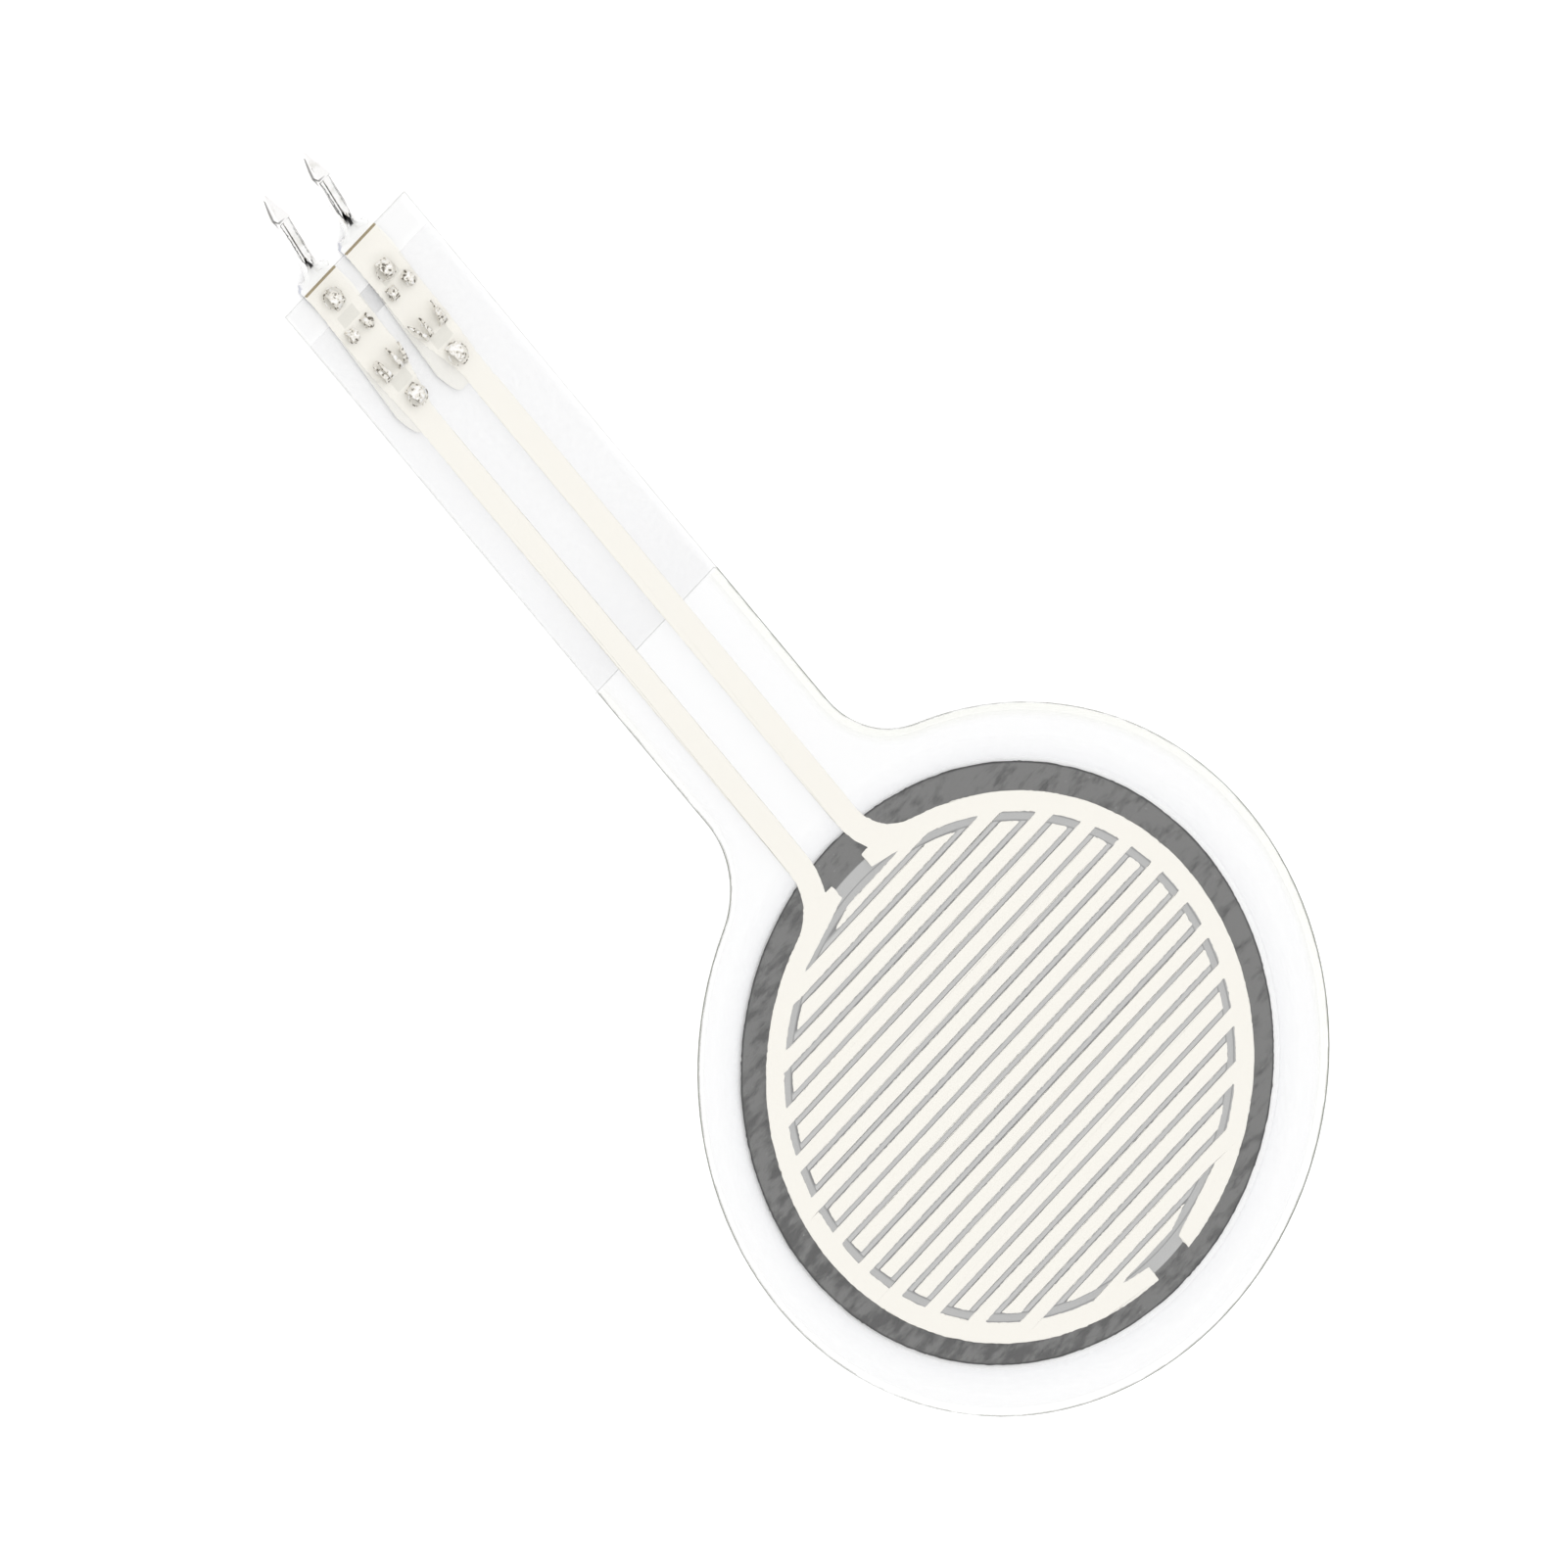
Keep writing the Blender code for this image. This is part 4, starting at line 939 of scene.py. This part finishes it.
# claws: torn up out of the plate, pushed through the film and curled over, each in a collar of pushed-up film
def clawTree(paint):
    tree = bpy.data.node_groups.new("clawRow", "GeometryNodeTree")
    face = tree.interface
    face.new_socket("Geometry", in_out="INPUT", socket_type="NodeSocketGeometry")
    for label, value in {**claw["lone"], **claw["all"]}.items():
        kind = "NodeSocketFloat" if isinstance(value, float) else "NodeSocketInt"
        face.new_socket(label, in_out="INPUT", socket_type=kind)
    face.new_socket("Geometry", in_out="OUTPUT", socket_type="NodeSocketGeometry")
    add = partial(addNode, tree)
    given = add("NodeGroupInput").outputs
    # path in the claw's own plane: up the stem, then over in a flattened half turn and a little under
    line = add("GeometryNodeCurvePrimitiveLine", {"End": (0.0, 0.0, 1.0)})
    path = add("GeometryNodeResampleCurve", {"Curve": line.outputs[0], "Count": 26})
    factor = add("GeometryNodeSplineParameter").outputs["Factor"]
    stem = add("MapRange", factor, 0.0, 0.2, 0.0, given["Stem"])
    turn = add("MapRange", factor, 0.2, 1.0, 0.0, given["Turn"])
    halfReach = add("Math MULTIPLY", given["Reach"], 0.5)
    over = add("Math SUBTRACT", 1.0, add("Math COSINE", turn))
    over = add("Math MULTIPLY", over, halfReach)
    lift = add("Math MULTIPLY_ADD", add("Math SINE", turn), given["Rise"], stem)
    place = add("CombineXYZ", 0.0, over, lift)
    path = add("GeometryNodeSetPosition", {"Geometry": path, "Position": place})
    kept = add("GeometryNodeCaptureAttribute", domain="POINT")
    kept.capture_items.new("FLOAT", "along")
    tree.links.new(path.outputs[0], kept.inputs["Geometry"])
    tree.links.new(factor, kept.inputs["along"])
    section = add("GeometryNodeCurvePrimitiveQuadrilateral", given["Width"], given["Sheet"])
    section = add("GeometryNodeFilletCurve", {"Curve": section, "Radius": given["Edge Round"], "Count": 3}, mode="POLY")
    along = kept.outputs["along"]
    body = add("GeometryNodeCurveToMesh", {"Curve": kept, "Profile Curve": section, "Fill Caps": True})
    # the tip narrows, and the claw is cupped across its width
    spot = add("GeometryNodeInputPosition")
    x, y, z = add("SeparateXYZ", spot).outputs
    narrowed = add("Math MULTIPLY", x, add("MapRange", along, 0.45, 1.0, 1.0, given["Tip Share"]))
    place = add("CombineXYZ", narrowed, y, z)
    centre = add("CombineXYZ", x, halfReach, given["Stem"])
    inwards = add("VectorMath NORMALIZE", add("VectorMath SUBTRACT", centre, spot))
    across = add("Math DIVIDE", x, given["Width"])
    hollowing = add("MapRange", add("Math MULTIPLY", across, across), 0.0, 0.25, given["Cup"], 0.0)
    hollowing = add("Math MULTIPLY", hollowing, add("MapRange", along, 0.15, 0.4))
    dent = add("VectorMath SCALE", inwards, hollowing)
    body = add("GeometryNodeSetPosition", {"Geometry": body, "Position": place, "Offset": dent})
    # a collar of film and ink stands up round each claw's tip
    ring = add("GeometryNodeCurvePrimitiveCircle", 28, given["Collar Radius"], mode="RADIUS")
    middle = add("CombineXYZ", 0.0, add("Math MULTIPLY", given["Reach"], 0.6), given["Collar Height"])
    ring = add("GeometryNodeSetPosition", {"Geometry": ring, "Offset": middle})
    wire = add("GeometryNodeCurvePrimitiveCircle", 8, given["Collar Sheet"], mode="RADIUS")
    collar = add("GeometryNodeCurveToMesh", {"Curve": ring.outputs[0], "Profile Curve": wire.outputs[0]})
    unit = add("GeometryNodeJoinGeometry", collar)
    tree.links.new(body.outputs[0], unit.inputs[0])
    # one on each root point, turned the way that it curls
    turned = add("GeometryNodeInputNamedAttribute", {"Name": "turn"}, data_type="FLOAT_VECTOR")
    turned = add("FunctionNodeEulerToRotation", turned)
    swell = add("GeometryNodeInputNamedAttribute", {"Name": "swell"}, data_type="FLOAT_VECTOR")
    placed = {"Points": given["Geometry"], "Instance": unit, "Rotation": turned, "Scale": swell}
    real = add("GeometryNodeRealizeInstances", add("GeometryNodeInstanceOnPoints", placed))
    # crumpled by the press, each in its own way
    dense = add("Math DIVIDE", 1.0, given["Crumple Size"])
    rough = add("TexNoise", add("GeometryNodeInputPosition"), given["Seed"], dense, 2.0, noise_dimensions="4D")
    push = add("VectorMath SUBTRACT", rough.outputs["Color"], (0.5, 0.5, 0.5))
    strength = add("Math MULTIPLY", add("MapRange", along, 0.1, 0.6, 0.4, 1.0), given["Crumple"])
    push = add("VectorMath SCALE", push, strength)
    real = add("GeometryNodeSetPosition", {"Geometry": real, "Offset": push})
    real = add("GeometryNodeRealizeInstances", real)
    done = add("GeometryNodeSetMaterial", {"Geometry": real, "Material": paint})
    add("NodeGroupOutput", done)
    return tree


def makeClaws(side, name, look, tree):
    shape = bmesh.new()
    for kind in ("lone", "slim", "spike"):
        rows = [row for row in clawRows[side] if row[3] == kind]
        roots = bpy.data.meshes.new(name + kind)
        roots.from_pydata([(contactX(side) + row[0] * mm, row[1] * mm, contact["middle"]) for row in rows], [], [])
        turns = roots.attributes.new("turn", "FLOAT_VECTOR", "POINT")
        swells = roots.attributes.new("swell", "FLOAT_VECTOR", "POINT")
        for i, (dx, root, way, _, lean) in enumerate(rows):
            wobble = 0.16 * math.sin(17.0 * dx + 3.1 * root + side)
            turns.data[i].vector = (0.0, 0.0, (0.0 if way > 0 else math.pi) + wobble - way * lean)
            swells.data[i].vector = (1.0, 1.0 + 0.5 * wobble, 1.0)
        work = newObject(name + kind, roots)
        grow = work.modifiers.new("claws", "NODES")
        grow.node_group = tree
        settings = {**look["all"], **look[kind]}
        for item in tree.interface.items_tree:
            if item.in_out == "INPUT" and item.name in settings:
                grow[item.identifier] = settings[item.name]
        shape.from_mesh(frozen(work))
    bmesh.ops.recalc_face_normals(shape, faces=shape.faces)
    for face in shape.faces:
        face.smooth = True
    for edge in shape.edges:
        edge.smooth = edge.calc_face_angle(0.0) < math.radians(50)
    mesh = meshFrom(shape, name)
    markPoints(mesh, "torn", [1.0] * len(mesh.vertices))
    return addPiece(name, mesh, paints["tin"], "tinned_sheet")


clawMaker = clawTree(paints["tin"])
makeClaws(-1, "leftClaws", claw, clawMaker)
makeClaws(1, "rightClaws", claw, clawMaker)
print("stage: claws")


# the photograph's view, from so far off that there is hardly any perspective
view = {
    "up": (0.69782, 0.71306, -0.06785),
    "back": (-0.29638, 0.37367, 0.87894),
    "target": (1.730 * mm, 13.943 * mm, -4.946 * mm),
    "frameWidth": 65.59 * mm,
    "lens": 1400.0,
    "sensor": 36.0,
}
back = Vector(view["back"]).normalized()
up = (Vector(view["up"]) - back * back.dot(Vector(view["up"]))).normalized()
spot = Vector(view["target"]) + back * view["frameWidth"] * view["lens"] / view["sensor"]
camera = newObject("camera", bpy.data.cameras.new("camera"))
camera.data.lens = view["lens"]
camera.data.sensor_width = view["sensor"]
camera.data.clip_start = 0.1
camera.matrix_world = Matrix.Translation(spot) @ Matrix((up.cross(back), up, back)).transposed().to_4x4()
scene.camera = camera
print("stage: camera")


# white table, soft tent light and one large lamp beyond the top of the picture
studio = {
    "tent": 0.96,
    "lampPower": 1.1,
    "lampSize": 1.1,
    "lampPlace": (0.20, 0.36, 0.45),
    "lampSide": (0.5, 0.87, 0.0),
    "table": "#f2f2f2",
    "tableLift": 0.26,
    "liftUnderLaminate": 0.16,
    "tapeLift": (25.1 * mm, 31.1 * mm, 0.08, 0.12),
    "liftUnderEnd": 0.06,
    "laminateStep": (25.0 * mm, 25.2 * mm),
    "endStep": (44.95 * mm, 45.55 * mm),
    "edgeFade": (-0.3 * mm, 0.2 * mm),
    "tableHalf": 3.0,
    "tableTop": -0.03 * mm,
    "gapDark": 0.06,
    "gapLit": 0.55,
}
scene.view_settings.view_transform = "Standard"
world = bpy.data.worlds.new("softStudio")
scene.world = world
world.use_nodes = True
world.node_tree.nodes.clear()
add = partial(addNode, world.node_tree)
path = add("LightPath").outputs
soft = add("Background", "#ffffff", studio["tent"])
white = add("Background", "#ffffff", 1.0)
# bright metal mirrors the tent, and the dark gap between its lower edge and the table, darkest away from the lamp
direction = add("TexCoord").outputs["Generated"]
height = add("SeparateXYZ", direction).outputs["Z"]
towards = add("VectorMath DOT_PRODUCT", direction, studio["lampSide"])
gap = add("MapRange", towards, -0.55, -0.2, studio["gapDark"], studio["gapLit"])
mirrored = add("Background", "#ffffff", add("MapRange", height, 0.2, 0.36, gap, 1.0))
mixed = add("MixShader", path["Is Glossy Ray"], soft, mirrored)
seen = add("Math MAXIMUM", path["Is Camera Ray"], path["Is Transmission Ray"])
mixed = add("MixShader", seen, mixed, white)
add("OutputWorld", mixed)

lampData = bpy.data.lights.new("softLamp", "AREA")
lampData.shape = "DISK"
lampData.size = studio["lampSize"]
lampData.energy = studio["lampPower"]
lamp = newObject("softLamp", lampData)
lamp.location = studio["lampPlace"]
lamp.rotation_euler = (-Vector(studio["lampPlace"])).to_track_quat("-Z", "Y").to_euler()
lamp.visible_glossy = False

half = studio["tableHalf"]
tableMesh = bpy.data.meshes.new("table")
corners = [(x * half, y * half, studio["tableTop"]) for x, y in ((-1, -1), (1, -1), (1, 1), (-1, 1))]
tableMesh.from_pydata(corners, [], [(0, 1, 2, 3)])
table = newObject("table", tableMesh)
made, add = newMaterial("whiteTable")
matt = add("BsdfDiffuse", studio["table"])
# painted shadow: the table under the clear film glows a little less, for the light that the film keeps off it
_, _, x, y = flatPlace(add)
edge = outlineDistance(add, x, y)
under = add("MapRange", y, *studio["tapeLift"])
under = add("MapRange", y, *studio["laminateStep"], studio["liftUnderLaminate"], under)
under = add("MapRange", y, *studio["endStep"], under, studio["liftUnderEnd"])
lift = add("MapRange", edge, *studio["edgeFade"], under, studio["tableLift"])
glow = add("Emission", "#ffffff", lift)
lifted = add("AddShader", matt, glow)
path = add("LightPath").outputs
seen = add("Math MAXIMUM", path["Is Glossy Ray"], path["Is Transmission Ray"])
seen = add("Math MAXIMUM", path["Is Camera Ray"], seen)
surface = add("MixShader", seen, matt, lifted)
add("OutputMaterial", surface)
tableMesh.materials.append(made)
print("stage: studio")
